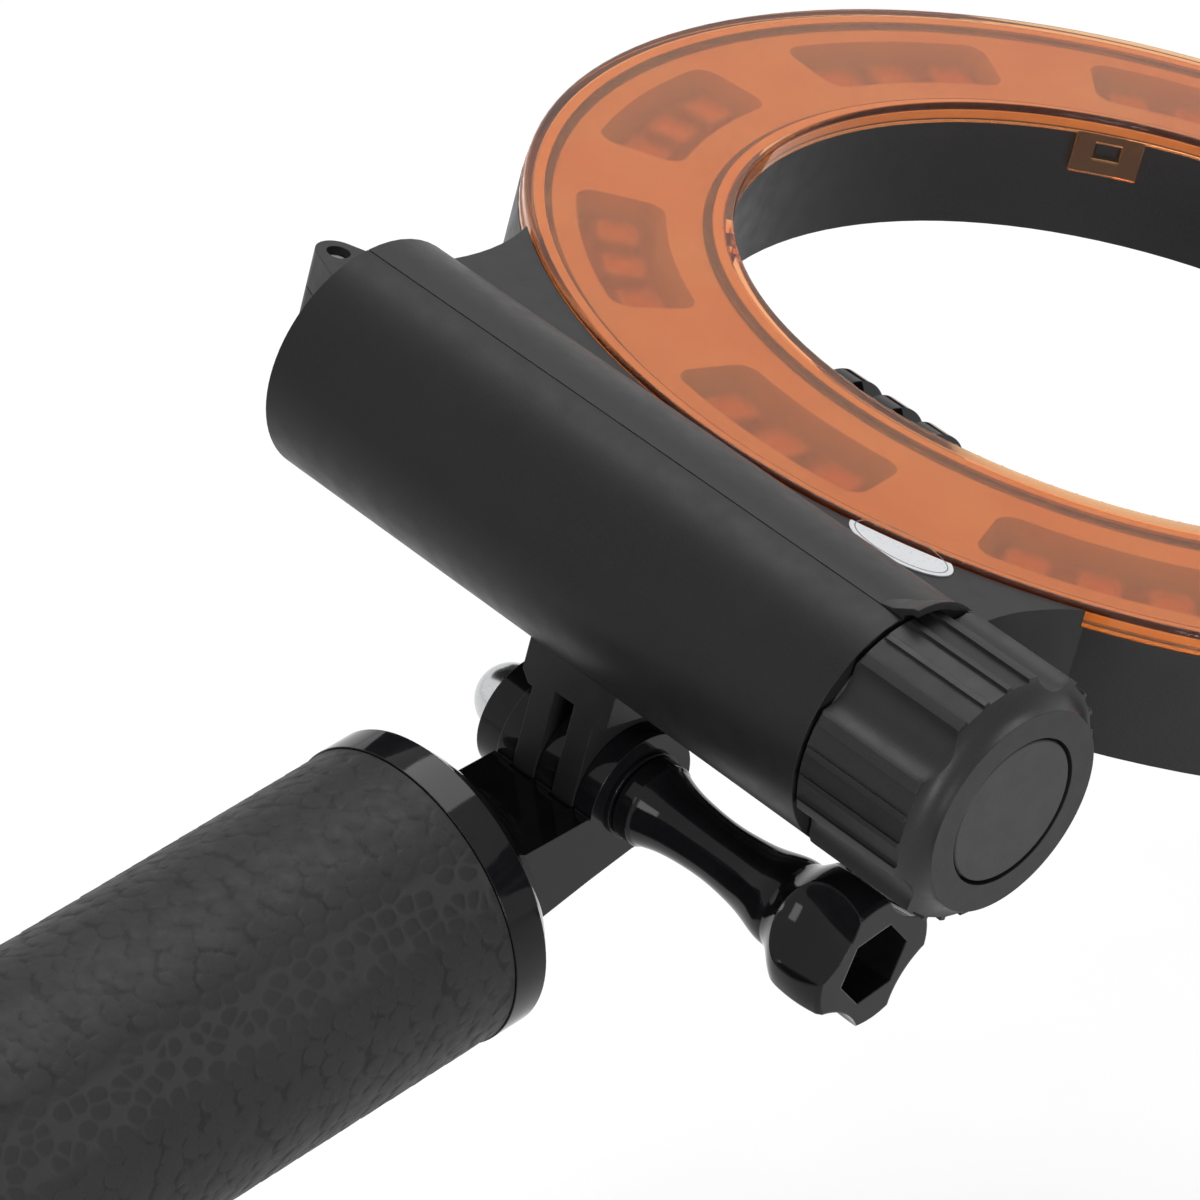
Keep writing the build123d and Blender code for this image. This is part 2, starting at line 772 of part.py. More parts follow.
# Coil springs at the cell's two ends, each one unbroken wire
tube_spring_length = cell_start - tube_spring_start - 0.1
tube_spring_pitch = (tube_spring_length - spring_wire - 0.1) / spring_turns
with BuildPart() as tube_spring:
    with BuildLine():
        tube_coil = Helix(
            tube_spring_pitch,
            tube_spring_pitch * spring_turns,
            cell_r * 0.55,
            center=spot(tube_spring_start + spring_wire / 2 + 0.05, barrel_y, barrel_z),
            direction=(1, 0, 0),
        )
    with BuildSketch(Plane(origin=tube_coil @ 0, z_dir=tube_coil % 0)):
        Circle(spring_wire / 2)
    sweep(path=tube_coil, is_frenet=True)
save(tube_spring, "tube_spring")
print("tube spring: gap between turns", round(tube_spring_pitch - spring_wire, 2), "mm")

with BuildPart() as battery_cell:
    with BuildSketch(across(cell_start, barrel_y, barrel_z)):
        Circle(cell_r)
    extrude(amount=cell_length - 1.2)
    with BuildSketch(across(cell_end - 1.2, barrel_y, barrel_z)):
        Circle(cell_r * 0.42)
    extrude(amount=1.2)
save(battery_cell, "battery_cell")

# Camera mount: three fingers on the ring's inner wall
with BuildPart() as camera_mount:
    for k in (-1, 0, 1):
        with BuildSketch(across(camera_x + k * camera_pitch - camera_finger / 2)):
            with Locations((camera_y, camera_z)):
                Circle(finger_r)
            with Locations((-rim_in + camera_foot / 2, rear_z + 0.9 + camera_foot_height / 2)):
                Rectangle(camera_foot, camera_foot_height)
            make_hull()
        extrude(amount=camera_finger)
    with BuildSketch(across(camera_x - camera_pitch - camera_finger / 2)):
        with Locations((-rim_in + camera_foot / 2 - 0.6, rear_z + 0.9 + camera_foot_height / 2)):
            Rectangle(camera_foot + 1.2, camera_foot_height)
    extrude(amount=2 * camera_pitch + camera_finger)
    with BuildSketch(across(camera_x - camera_pitch - camera_finger)):
        with Locations((camera_y, camera_z)):
            Circle(bolt_hole_r)
    extrude(amount=2 * camera_pitch + 2 * camera_finger, mode=Mode.SUBTRACT)
    with BuildSketch(at(rear_z - 2 * finger_r)):
        Circle(rim_in - 0.03)
    extrude(amount=ring_depth + 2 * finger_r, mode=Mode.INTERSECT)
save(camera_mount, "camera_mount")

# Blank oval label on the web
with BuildPart() as label:
    with BuildSketch(at(web_top)):
        with Locations(Location((label_x, label_y, 0), (0, 0, 1), label_turn)):
            Ellipse(label_length / 2, label_width / 2)
        Circle(filter_r + skirt_bead + 0.3, mode=Mode.SUBTRACT)
    extrude(amount=0.15)
    with BuildSketch(across(0, barrel_y, barrel_z)):
        Circle(barrel_r + 0.1)
    extrude(amount=barrel_half, mode=Mode.SUBTRACT)
save(label, "label")

# Coloured filter that lifts off the ring, with slotted clips on its inner skirt
with BuildPart() as color_filter:
    with BuildSketch(ring_section) as profile:
        Polygon(
            (filter_bore_r, -skirt_height),
            (filter_bore_r + skirt_wall, -skirt_height),
            (filter_bore_r + skirt_wall, -filter_plate),
            (filter_r - skirt_wall, -filter_plate),
            (filter_r - skirt_wall, -skirt_height),
            (filter_r + skirt_bead, -skirt_height),
            (filter_r + skirt_bead, -skirt_height + 0.7),
            (filter_r, -skirt_height + 0.8),
            (filter_r, 0),
            (filter_bore_r, 0),
            align=None,
        )
        rims = [v for v in profile.vertices() if head.to_local_coords(v.center()).Z > -0.01]
        fillet(rims, 0.5)
    revolve(axis=head_axis)
    clip_top = -skirt_height + 0.6
    with BuildSketch(at(clip_top)):
        Circle(filter_bore_r + clip_wall)
        Circle(filter_bore_r, mode=Mode.SUBTRACT)
        with PolarLocations(filter_bore_r, clip_count, start_angle=clip_start):
            Rectangle(6.0, clip_width, mode=Mode.INTERSECT)
    extrude(amount=-clip_drop - 0.6)
    for k in range(clip_count):
        turn = radians(clip_start + 360 / clip_count * k)
        out = head.x_dir * cos(turn) + head.y_dir * sin(turn)
        slot_r = filter_bore_r - 1.0
        slot_z = -skirt_height - clip_drop * 0.42
        with BuildSketch(
            Plane(origin=spot(slot_r * cos(turn), slot_r * sin(turn), slot_z), x_dir=head.z_dir, z_dir=out)
        ):
            Rectangle(clip_slot[1], clip_slot[0])
        extrude(amount=clip_wall + 1.6, mode=Mode.SUBTRACT)
save(color_filter, "color_filter")

# Cap: fluted skirt with stepped ribs, smooth shoulder and flat face
cap_axis = Axis(spot(0, barrel_y, barrel_z), (1, 0, 0))
cap_section = Plane(origin=spot(0, barrel_y, barrel_z), x_dir=(1, 0, 0), z_dir=-head.y_dir)
rib_end = cap_end - 0.6
strip_end = cap_end - 1.9
with BuildPart() as cap_body:
    with BuildSketch(cap_section):
        with BuildLine():
            Polyline(
                (cap_end, 0),
                (cap_start, 0),
                (cap_start, cap_r - 0.5),
                (cap_start + 0.5, cap_r),
                (cap_end - cap_rounding, cap_r),
            )
            RadiusArc((cap_end - cap_rounding, cap_r), (cap_end, cap_r - cap_rounding), -cap_rounding)
            Line((cap_end, cap_r - cap_rounding), (cap_end, 0))
        make_face()
    revolve(axis=cap_axis)
    # Wide flutes with round ends
    flute_centre = cap_r - flute_depth + flute_r
    for k in range(flute_count):
        turn = flute_start + 360 / flute_count * k
        centre_y = barrel_y + flute_centre * cos(radians(turn))
        centre_z = barrel_z + flute_centre * sin(radians(turn))
        with BuildSketch(across(cap_start - 0.5, centre_y, centre_z)):
            Circle(flute_r)
        extrude(amount=rib_end - flute_r * 0.65 - cap_start + 0.5, mode=Mode.SUBTRACT)
        with Locations(Location(spot(rib_end - flute_r * 0.65, centre_y, centre_z))):
            Sphere(flute_r, mode=Mode.SUBTRACT)
    # Flat strips on every land, with narrow ribs left standing between them
    for k in range(flute_count):
        for side in (-1, 0, 1):
            turn = flute_start + 180 / flute_count + 360 / flute_count * k + side * rib_angle
            band = Plane(
                origin=spot(cap_start - 0.5, barrel_y, barrel_z),
                x_dir=head.y_dir * cos(radians(turn)) + head.z_dir * sin(radians(turn)),
                z_dir=(1, 0, 0),
            )
            with BuildSketch(band):
                with Locations((cap_r + 2.0 - rib_step, 0)):
                    Rectangle(4.0, strip_width)
            extrude(amount=strip_end - cap_start + 0.5, mode=Mode.SUBTRACT)
    # Bore for the neck, contact pocket and seat of the face disc
    with BuildSketch(across(cap_start - 0.5, barrel_y, barrel_z)):
        Circle(cap_bore_r)
    extrude(amount=cap_shoulder - cap_start + 0.5, mode=Mode.SUBTRACT)
    with BuildSketch(across(cap_end - disc_thickness, barrel_y, barrel_z)):
        Circle(disc_r + disc_groove)
    extrude(amount=disc_thickness + 1, mode=Mode.SUBTRACT)
save(cap_body, "cap_body")

with BuildPart() as cap_disc:
    with BuildSketch(across(cap_end - disc_thickness, barrel_y, barrel_z)):
        Circle(disc_r)
    extrude(amount=disc_thickness - 0.12)
    chamfer(cap_disc.edges().group_by(Axis.X)[-1], 0.15)
save(cap_disc, "cap_disc")

with BuildPart() as cap_contact:
    with BuildSketch(across(cap_contact_face - 0.05, barrel_y, barrel_z)):
        Circle(cell_r - 1.0)
    extrude(amount=contact_thickness)
save(cap_contact, "cap_contact")

cap_spring_length = cap_contact_face - cell_end - 0.25
cap_spring_turns = 2
cap_spring_pitch = (cap_spring_length - spring_wire - 0.1) / cap_spring_turns
with BuildPart() as cap_spring:
    with BuildLine():
        cap_coil = Helix(
            cap_spring_pitch,
            cap_spring_pitch * cap_spring_turns,
            cell_r * 0.36,
            center=spot(cell_end + 0.1 + spring_wire / 2, barrel_y, barrel_z),
            direction=(1, 0, 0),
        )
    with BuildSketch(Plane(origin=cap_coil @ 0, z_dir=cap_coil % 0)):
        Circle(spring_wire / 2)
    sweep(path=cap_coil, is_frenet=True)
save(cap_spring, "cap_spring")
print("cap spring: gap between turns", round(cap_spring_pitch - spring_wire, 2), "mm")

# Grip adapter: three fingers, neck, domed flange and collar in one moulding
nut_pocket_depth = boss_left + nut_seat
with BuildPart() as handle_adapter:
    with BuildSketch(grip_side(adapter_right)):
        Polygon(
            (0, -adapter_r),
            (adapter_r + 0.3, 0.9),
            (neck_start + 5.0, 1.6),
            (neck_start + 5.0, -2 * grip_offset - 4.2),
            (7.0, -2 * grip_offset - 2.1),
            (1.0, -adapter_r),
            align=None,
        )
        Circle(adapter_r)
    extrude(amount=adapter_right - adapter_left)
    # Slots for the mount's two fingers, with room for their round ends to swing
    for slot_right in (mount_right + finger_play, mount_left + mount_finger + finger_play):
        with BuildSketch(grip_side(slot_right)):
            Circle(finger_r + 0.6)
            with Locations((-finger_r, 0)):
                Rectangle(2 * finger_r, 2 * finger_r + 2)
        extrude(amount=mount_finger + 2 * finger_play, mode=Mode.SUBTRACT)
    # Nut boss on the blind side
    with BuildSketch(across(boss_left, pivot_y, pivot_z)):
        Circle(adapter_r - 0.3)
    extrude(amount=nut_boss)
    # Domed flange and collar
    with BuildSketch(
        Plane(origin=along_grip(0).origin, x_dir=along_grip(0).z_dir, z_dir=-along_grip(0).y_dir)
    ):
        with BuildLine():
            Line((neck_start, 0), (neck_start, 6.6))
            Spline(
                (neck_start, 6.6),
                (neck_start + 1.5, 7.5),
                (neck_start + 3.3, 10.4),
                (neck_start + 5.6, 14.0),
                (collar_start, collar_r - 0.5),
            )
            Polyline(
                (collar_start, collar_r - 0.5),
                (collar_start + 0.4, collar_r),
                (grip_start - 0.1, collar_r),
                (grip_start - 0.1, core_bore_r - plug_play),
                (grip_start + plug_length, core_bore_r - plug_play),
                (grip_start + plug_length, 0),
                (neck_start, 0),
            )
        make_face()
    revolve(axis=Axis(along_grip(0).origin, along_grip(0).z_dir))
    # Bolt hole and hexagonal pocket for the dome nut
    with BuildSketch(across(boss_left - 1, pivot_y, pivot_z)):
        Circle(bolt_hole_r)
    extrude(amount=adapter_right - boss_left + 2, mode=Mode.SUBTRACT)
    with BuildSketch(across(boss_left, pivot_y, pivot_z)):
        RegularPolygon(nut_flat / 2 + nut_play, 6, major_radius=False)
    extrude(amount=nut_seat, mode=Mode.SUBTRACT)
save(handle_adapter, "handle_adapter")

# Dome nut in the adapter's pocket, with a blind threaded hole
with BuildPart() as dome_nut:
    nut_face = boss_left + nut_seat - 0.02
    with BuildSketch(across(nut_face, pivot_y, pivot_z)):
        RegularPolygon(nut_flat / 2, 6, major_radius=False)
    extrude(amount=-nut_seat + 0.6)
    dome_base = boss_left + 0.6
    with Locations(Location(spot(dome_base - 2.7, pivot_y, pivot_z))):
        Sphere(nut_dome_r)
    with BuildSketch(across(dome_base, pivot_y, pivot_z)):
        Circle(nut_dome_r)
    extrude(amount=-2.7)
    with BuildSketch(across(dome_base + 1.0, pivot_y, pivot_z)):
        Circle(nut_dome_r + 2)
        RegularPolygon(nut_flat / 2, 6, major_radius=False, mode=Mode.SUBTRACT)
    extrude(amount=nut_dome_r + 3, mode=Mode.SUBTRACT)
    with BuildSketch(across(nut_face, pivot_y, pivot_z)):
        Circle(nut_flat)
    extrude(amount=nut_flat, mode=Mode.SUBTRACT)
    with BuildSketch(across(nut_face, pivot_y, pivot_z)):
        Circle(bolt_r + bolt_thread_play)
    extrude(amount=-nut_seat - 1.0, mode=Mode.SUBTRACT)
save(dome_nut, "dome_nut")

# Float tube of the grip, its rubber sleeve, end cap and seal
with BuildPart() as handle_core:
    with BuildSketch(along_grip(grip_start)):
        Circle(core_r)
        Circle(core_bore_r, mode=Mode.SUBTRACT)
    extrude(amount=grip_length)
save(handle_core, "handle_core")

with BuildPart() as grip_sleeve:
    with BuildSketch(along_grip(grip_start)):
        Circle(grip_r)
        Circle(core_r + 0.02, mode=Mode.SUBTRACT)
    extrude(amount=grip_length - 0.1)
    rims = grip_sleeve.edges().filter_by(
        lambda e: e.geom_type == GeomType.CIRCLE and abs(e.radius - grip_r) < 0.01
    )
    fillet(rims, 0.5)
save(grip_sleeve, "grip_sleeve")

with BuildPart() as end_cap:
    with BuildSketch(
        Plane(origin=along_grip(0).origin, x_dir=along_grip(0).z_dir, z_dir=-along_grip(0).y_dir)
    ):
        with BuildLine():
            Polyline(
                (grip_end - plug_length, 0),
                (grip_end - plug_length, core_bore_r - plug_play),
                (grip_end + 0.05, core_bore_r - plug_play),
                (grip_end + 0.05, end_cap_r),
                (end_cap_end - 1.2, end_cap_r),
                (end_cap_end, end_cap_r - 1.2),
                (end_cap_end, 0),
                (grip_end - plug_length, 0),
            )
        make_face()
    revolve(axis=Axis(along_grip(0).origin, along_grip(0).z_dir))
    # Straight hole for a lanyard, and a shallow dish in the end face
    with BuildSketch(across(pivot_x - 2 * end_cap_r, lanyard_y, lanyard_z)):
        Circle(lanyard_hole_r)
    extrude(amount=4 * end_cap_r, mode=Mode.SUBTRACT)
    with BuildSketch(along_grip(end_cap_end)):
        Circle(end_cap_r - 4.0)
    extrude(amount=-0.8, taper=30, mode=Mode.SUBTRACT)
    # Seal groove in the plug
    with BuildSketch(along_grip(grip_end - plug_length + 2.0)):
        Circle(core_bore_r + 1)
        Circle(core_bore_r - 1.2, mode=Mode.SUBTRACT)
    extrude(amount=1.6, mode=Mode.SUBTRACT)
save(end_cap, "end_cap")

with BuildPart() as end_cap_seal:
    with BuildSketch(
        Plane(
            origin=along_grip(grip_end - plug_length + 2.8).origin,
            x_dir=(1, 0, 0),
            z_dir=along_grip(0).y_dir,
        )
    ):
        with Locations((core_bore_r - 0.65, 0)):
            Circle(0.55)
    revolve(axis=Axis(along_grip(0).origin, along_grip(0).z_dir))
save(end_cap_seal, "end_cap_seal")

# Washer, knob and bolt of the thumb screw
with BuildPart() as thumb_washer:
    with BuildSketch(across(washer_start, pivot_y, pivot_z)):
        Circle(washer_r)
        Circle(bolt_hole_r, mode=Mode.SUBTRACT)
    extrude(amount=washer_thickness)
save(thumb_washer, "thumb_washer")

knob_axis = Axis(spot(0, pivot_y, pivot_z), (1, 0, 0))
knob_section = Plane(origin=spot(knob_start, pivot_y, pivot_z), x_dir=(1, 0, 0), z_dir=-head.y_dir)
with BuildPart() as thumb_knob:
    with BuildSketch(knob_section):
        with BuildLine():
            Polyline((0, 0), (0, 4.6), (0.3, knob_base_r), (2.2, knob_base_r), (2.6, knob_base_r - 0.25))
            Spline(
                (2.6, knob_base_r - 0.25),
                (5.0, 4.0),
                (8.2, knob_waist_r + 0.1),
                (12.0, knob_waist_r),
                (15.0, knob_waist_r + 0.25),
                (17.1, knob_waist_r + 0.57),
                (19.2, knob_throat_r - 0.55),
                (21.0, knob_throat_r - 0.08),
                (22.6, knob_throat_r),
            )
            # Domed back of the lobes, and their slightly barrelled rim
            Spline(
                (22.6, knob_throat_r),
                (23.8, knob_throat_r + 0.6),
                (25.5, knob_lobe_r - 1.65),
                (27.5, knob_lobe_r - 0.4),
                (29.3, knob_lobe_r - 0.04),
                (31.0, knob_lobe_r),
                (knob_length - 0.4, knob_lobe_r - 0.55),
            )
            Polyline(
                (knob_length - 0.4, knob_lobe_r - 0.55),
                (knob_length, knob_lobe_r - 1.0),
                (knob_length, 0),
                (0, 0),
            )
        make_face()
    revolve(axis=knob_axis)
    # Shallow dishes between the lobes, round at the shank's end
    for k in range(knob_lobes):
        turn = radians(scoop_turn + 360 / knob_lobes * k)
        scoop_origin = spot(
            knob_start + scoop_start,
            pivot_y + scoop_axis_r * cos(turn),
            pivot_z + scoop_axis_r * sin(turn),
        )
        with BuildSketch(Plane(origin=scoop_origin, x_dir=(1, 0, 0), z_dir=-head.y_dir)):
            with BuildLine():
                Line((0, 0), (0, scoop_r - 1.4))
                Spline(
                    (0, scoop_r - 1.4),
                    (0.9, scoop_r - 0.55),
                    (2.6, scoop_r - 0.1),
                    (5.2, scoop_r),
                    (knob_length - scoop_start, scoop_r - 0.4),
                    (knob_length - scoop_start + 1.5, scoop_r - 0.6),
                )
                Polyline(
                    (knob_length - scoop_start + 1.5, scoop_r - 0.6),
                    (knob_length - scoop_start + 1.5, 0),
                    (0, 0),
                )
            make_face()
        revolve(axis=Axis(scoop_origin, (1, 0, 0)), mode=Mode.SUBTRACT)
    with BuildSketch(across(knob_end, pivot_y, pivot_z)):
        RegularPolygon(knob_recess_flat / 2, 6, major_radius=False, rotation=hexagon_turn)
    extrude(amount=-knob_recess_depth - bolt_head_height, mode=Mode.SUBTRACT)
    with BuildSketch(across(knob_start - 1, pivot_y, pivot_z)):
        Circle(bolt_r + 0.03)
    extrude(amount=knob_length, mode=Mode.SUBTRACT)
save(thumb_knob, "thumb_knob")

with BuildPart() as thumb_bolt:
    bolt_tip = boss_left + 0.4
    bolt_head_x = knob_end - knob_recess_depth - bolt_head_height + 0.02
    with BuildSketch(across(bolt_tip, pivot_y, pivot_z)):
        Circle(bolt_r)
    extrude(amount=bolt_head_x - bolt_tip)
    with BuildSketch(across(bolt_head_x, pivot_y, pivot_z)):
        RegularPolygon(bolt_head_flat / 2, 6, major_radius=False, rotation=hexagon_turn)
    extrude(amount=bolt_head_height)
save(thumb_bolt, "thumb_bolt")

print("lean", round(degrees(lean), 3), "barrel axis", tuple(round(v, 3) for v in spot(0, barrel_y, barrel_z)))
print("pivot", tuple(round(v, 4) for v in spot(pivot_x, pivot_y, pivot_z)))
print("camera pivot", tuple(round(v, 4) for v in spot(camera_x, camera_y, camera_z)))
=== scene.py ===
import json
from math import cos, hypot, pi, radians, sin

import bpy
import numpy as np
from mathutils import Matrix, Vector, kdtree


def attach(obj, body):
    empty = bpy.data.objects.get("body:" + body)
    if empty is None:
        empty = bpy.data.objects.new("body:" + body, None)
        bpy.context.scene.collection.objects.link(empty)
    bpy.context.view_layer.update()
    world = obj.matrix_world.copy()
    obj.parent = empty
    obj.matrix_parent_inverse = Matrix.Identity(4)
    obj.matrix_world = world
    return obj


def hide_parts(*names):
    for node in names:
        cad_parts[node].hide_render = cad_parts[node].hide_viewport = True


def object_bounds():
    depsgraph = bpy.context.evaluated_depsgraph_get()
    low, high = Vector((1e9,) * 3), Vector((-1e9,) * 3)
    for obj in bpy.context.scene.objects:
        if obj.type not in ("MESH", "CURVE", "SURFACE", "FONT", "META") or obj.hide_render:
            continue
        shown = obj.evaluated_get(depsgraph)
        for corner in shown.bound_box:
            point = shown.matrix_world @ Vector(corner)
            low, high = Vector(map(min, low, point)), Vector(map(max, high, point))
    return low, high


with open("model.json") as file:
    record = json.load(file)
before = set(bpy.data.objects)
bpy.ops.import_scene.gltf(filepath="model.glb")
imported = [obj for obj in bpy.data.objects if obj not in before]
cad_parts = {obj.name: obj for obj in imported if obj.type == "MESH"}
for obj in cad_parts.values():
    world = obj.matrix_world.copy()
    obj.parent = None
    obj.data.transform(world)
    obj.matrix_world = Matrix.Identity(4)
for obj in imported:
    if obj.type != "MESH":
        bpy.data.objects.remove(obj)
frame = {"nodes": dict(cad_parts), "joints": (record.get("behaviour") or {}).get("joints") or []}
cad_low, cad_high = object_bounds()

MM = 0.001
nodes = frame["nodes"]
joints = {joint["name"]: joint for joint in frame["joints"]}

# The head frame: X along the barrel, Z out of the lit face, origin at the ring's centre
HEAD_X = Vector((1, 0, 0))
HEAD_Z = Vector(joints["filter_lift"]["axis"]).normalized()
HEAD_Y = HEAD_Z.cross(HEAD_X)
PIVOT = Vector(joints["grip_pivot"]["pos_m"])

# Camera: its place in millimetres of the head frame, its directions, its lens and sensor in
# millimetres, and its clipping in metres
CAMERA_SPOT = (390.43, -589.02, 332.46)
CAMERA_RIGHT = (0.68684, 0.69022, 0.22768)
CAMERA_DOWN = (0.48988, -0.20823, -0.84656)
CAMERA_LENS = 207.44
SENSOR_WIDTH = 36.0
CLIP_START = 0.01
CLIP_END = 20

# Grip sleeve, in millimetres; its mesh has SLEEVE_ROWS by SLEEVE_COLUMNS points outside
GRIP_ANGLE = radians(16.0)
GRIP_OFFSET = 3.0
SLEEVE_START = 27.2
SLEEVE_LENGTH = 119.0
SLEEVE_RADIUS = 17.2
SLEEVE_BORE = 15.02
SLEEVE_ROWS = 520
SLEEVE_COLUMNS = 480
SLEEVE_FADE = 0.8
SLEEVE_SHARP = radians(60)

# The scales pressed into the sleeve: size, how far they stray from a grid, and their relief
SCALE_SEED = 7
SPARE_COLUMNS = 3
SCALE_LENGTH = 2.4
SCALE_WIDTH = 2.05
SCALE_STRAY = (0.3, 0.26)
SCALE_DEPTH = 0.1
SCALE_TILT = 0.045
SCALE_REACH = 1.33

# Lines between the scales: their width, and how deep they are, most at a scale's free edge
LINE_WIDTH = 0.12
LINE_LEAST = 0.15
LINE_MIDDLE = 0.35
LINE_SLOPE = 2.2
LINE_SHARE = 0.8

# The band of pale channels along the sleeve: its place, half its width, and its wider lines
BAND_ANGLE = radians(46.0)
BAND_HALF = radians(9.0)
BAND_WIDER = 0.2

# Lamp chips, in millimetres: three to a window; the starts and steps are in degrees
WINDOW_COUNT = 10
WINDOW_START = 270.0
WINDOW_STEP = 36
LAMP_STEP = 7.4
LAMPS_PER_WINDOW = 3
LAMP_SIDES = 24
LAMP_SIZE = 5.0
LAMP_HEIGHT = 1.4
LAMP_BEVEL = 0.25
LAMP_CORNER = 1.32
LAMP_SHARP = radians(35)

# A chip's pool: the first band of its mesh, and its rings' radius and depth below the frame
POOL_START = 4
POOL_RINGS = ((1.95, 0.0), (1.83, 0.18), (1.2, 0.08), (0.5, 0.04))

# The label's printed line, in millimetres of the head frame; its section is out and up
LABEL_SPOT = (24.6, -70.0)
LABEL_TURN = radians(8.0)
LABEL_HALF = (5.75, 2.7)
LABEL_STEPS = 96
INK_SECTION = ((-0.07, -0.01), (-0.07, 0.012), (0.07, 0.012), (0.07, -0.01))

# The raised rims that the filter's skirts hide, in millimetres of the head frame
RIM_OUT = 71.8
RIM_IN = 50.1
RIM_WALL = 1.3
RIM_BLUR = 0.1
SKIRT_END = -2.4

# Floor: the pieces whose swing it stays under, the gap to them in millimetres, half its side
# in metres, its two greys, and how brightly it is seen, which leaves a faint shadow on it
HANDLE_NODES = ("handle_adapter", "dome_nut", "grip_sleeve", "end_cap")
FLOOR_GAP = 2.0
FLOOR_HALF = 3.0
FLOOR_DARK = (0.5, 0.5, 0.5, 1)
FLOOR_PALE = (0.54, 0.54, 0.54, 1)
FLOOR_GLOW = 0.54

# The world's strength where it lights and where it is seen
WORLD_LIGHT = 0.3
WORLD_SEEN = 1.0
SEEN_RAYS = ("Is Camera Ray", "Is Glossy Ray", "Is Transmission Ray")
WHITE = (1, 1, 1, 1)

# Lamps: name, place and size in metres, watts, all aimed at the middle of the part
LAMP_AIM = (0, -60, 0)
LAMPS = (
    ("key", (-0.48, 0.56, 1.36), (1.15, 0.95), 15.5),
    ("right_strip", (1.25, -0.62, 0.22), (0.6, 0.36), 9.0),
    ("front_spark", (0.02, -0.9, 0.42), (0.32, 0.34), 1.9),
)

# Refraction of the filter and the lens, under that of real plastic so that the white
# surroundings veil what lies below less
CLEAR_IOR = 1.3

# Noise in the looks stays mostly between these
NOISE_LOW = 0.3
NOISE_HIGH = 0.7

# Worn edges: the turn of the normal at which wear starts and is full, and the size in
# millimetres and the levels of the patches that break it up
WEAR_TURN = (0.98, 0.75)
WEAR_PATCH = 1.1
WEAR_LEVELS = (0.4, 0.65)
BEVEL_SAMPLES = 4

# Factors of a colour: dark and light drift, flecks by channel and worn edges of matt plastic,
# rub marks and worn edges of gloss plastic, the two sides of a clear one, grooves of a metal
MATT_DRIFT = (0.86, 1.16)
MATT_FLECK = (1.28, 1.28, 1.3)
MATT_WORN = 2.4
GLOSS_RUB = 1.5
GLOSS_WORN = 3
CLEAR_WARM = (1, 0.96, 0.93)
CLEAR_COOL = (1.01, 1.03, 1.06)
METAL_GROOVE = 0.82

# Share of fine scuffs in a gloss plastic's roughness, and factors of a paint's roughness
SCUFF_SHARE = 0.35
PAINT_ROUGH = (0.85, 1.15)


def head_way(x, y, z):
    return HEAD_X * x + HEAD_Y * y + HEAD_Z * z


def head(x, y, z):
    return head_way(x, y, z) * MM


def linear(*rgb):
    """A linear colour from 0-255 screen values."""
    out = []
    for value in rgb:
        v = value / 255
        out.append(v / 12.92 if v <= 0.04045 else ((v + 0.055) / 1.055) ** 2.4)
    return (*out, 1.0)


def shaded(colour, red, green=None, blue=None):
    """The colour times one factor, or times one a channel; no channel passes 1."""
    green = red if green is None else green
    blue = red if blue is None else blue
    return (*(min(c * f, 1) for c, f in zip(colour, (red, green, blue))), 1)


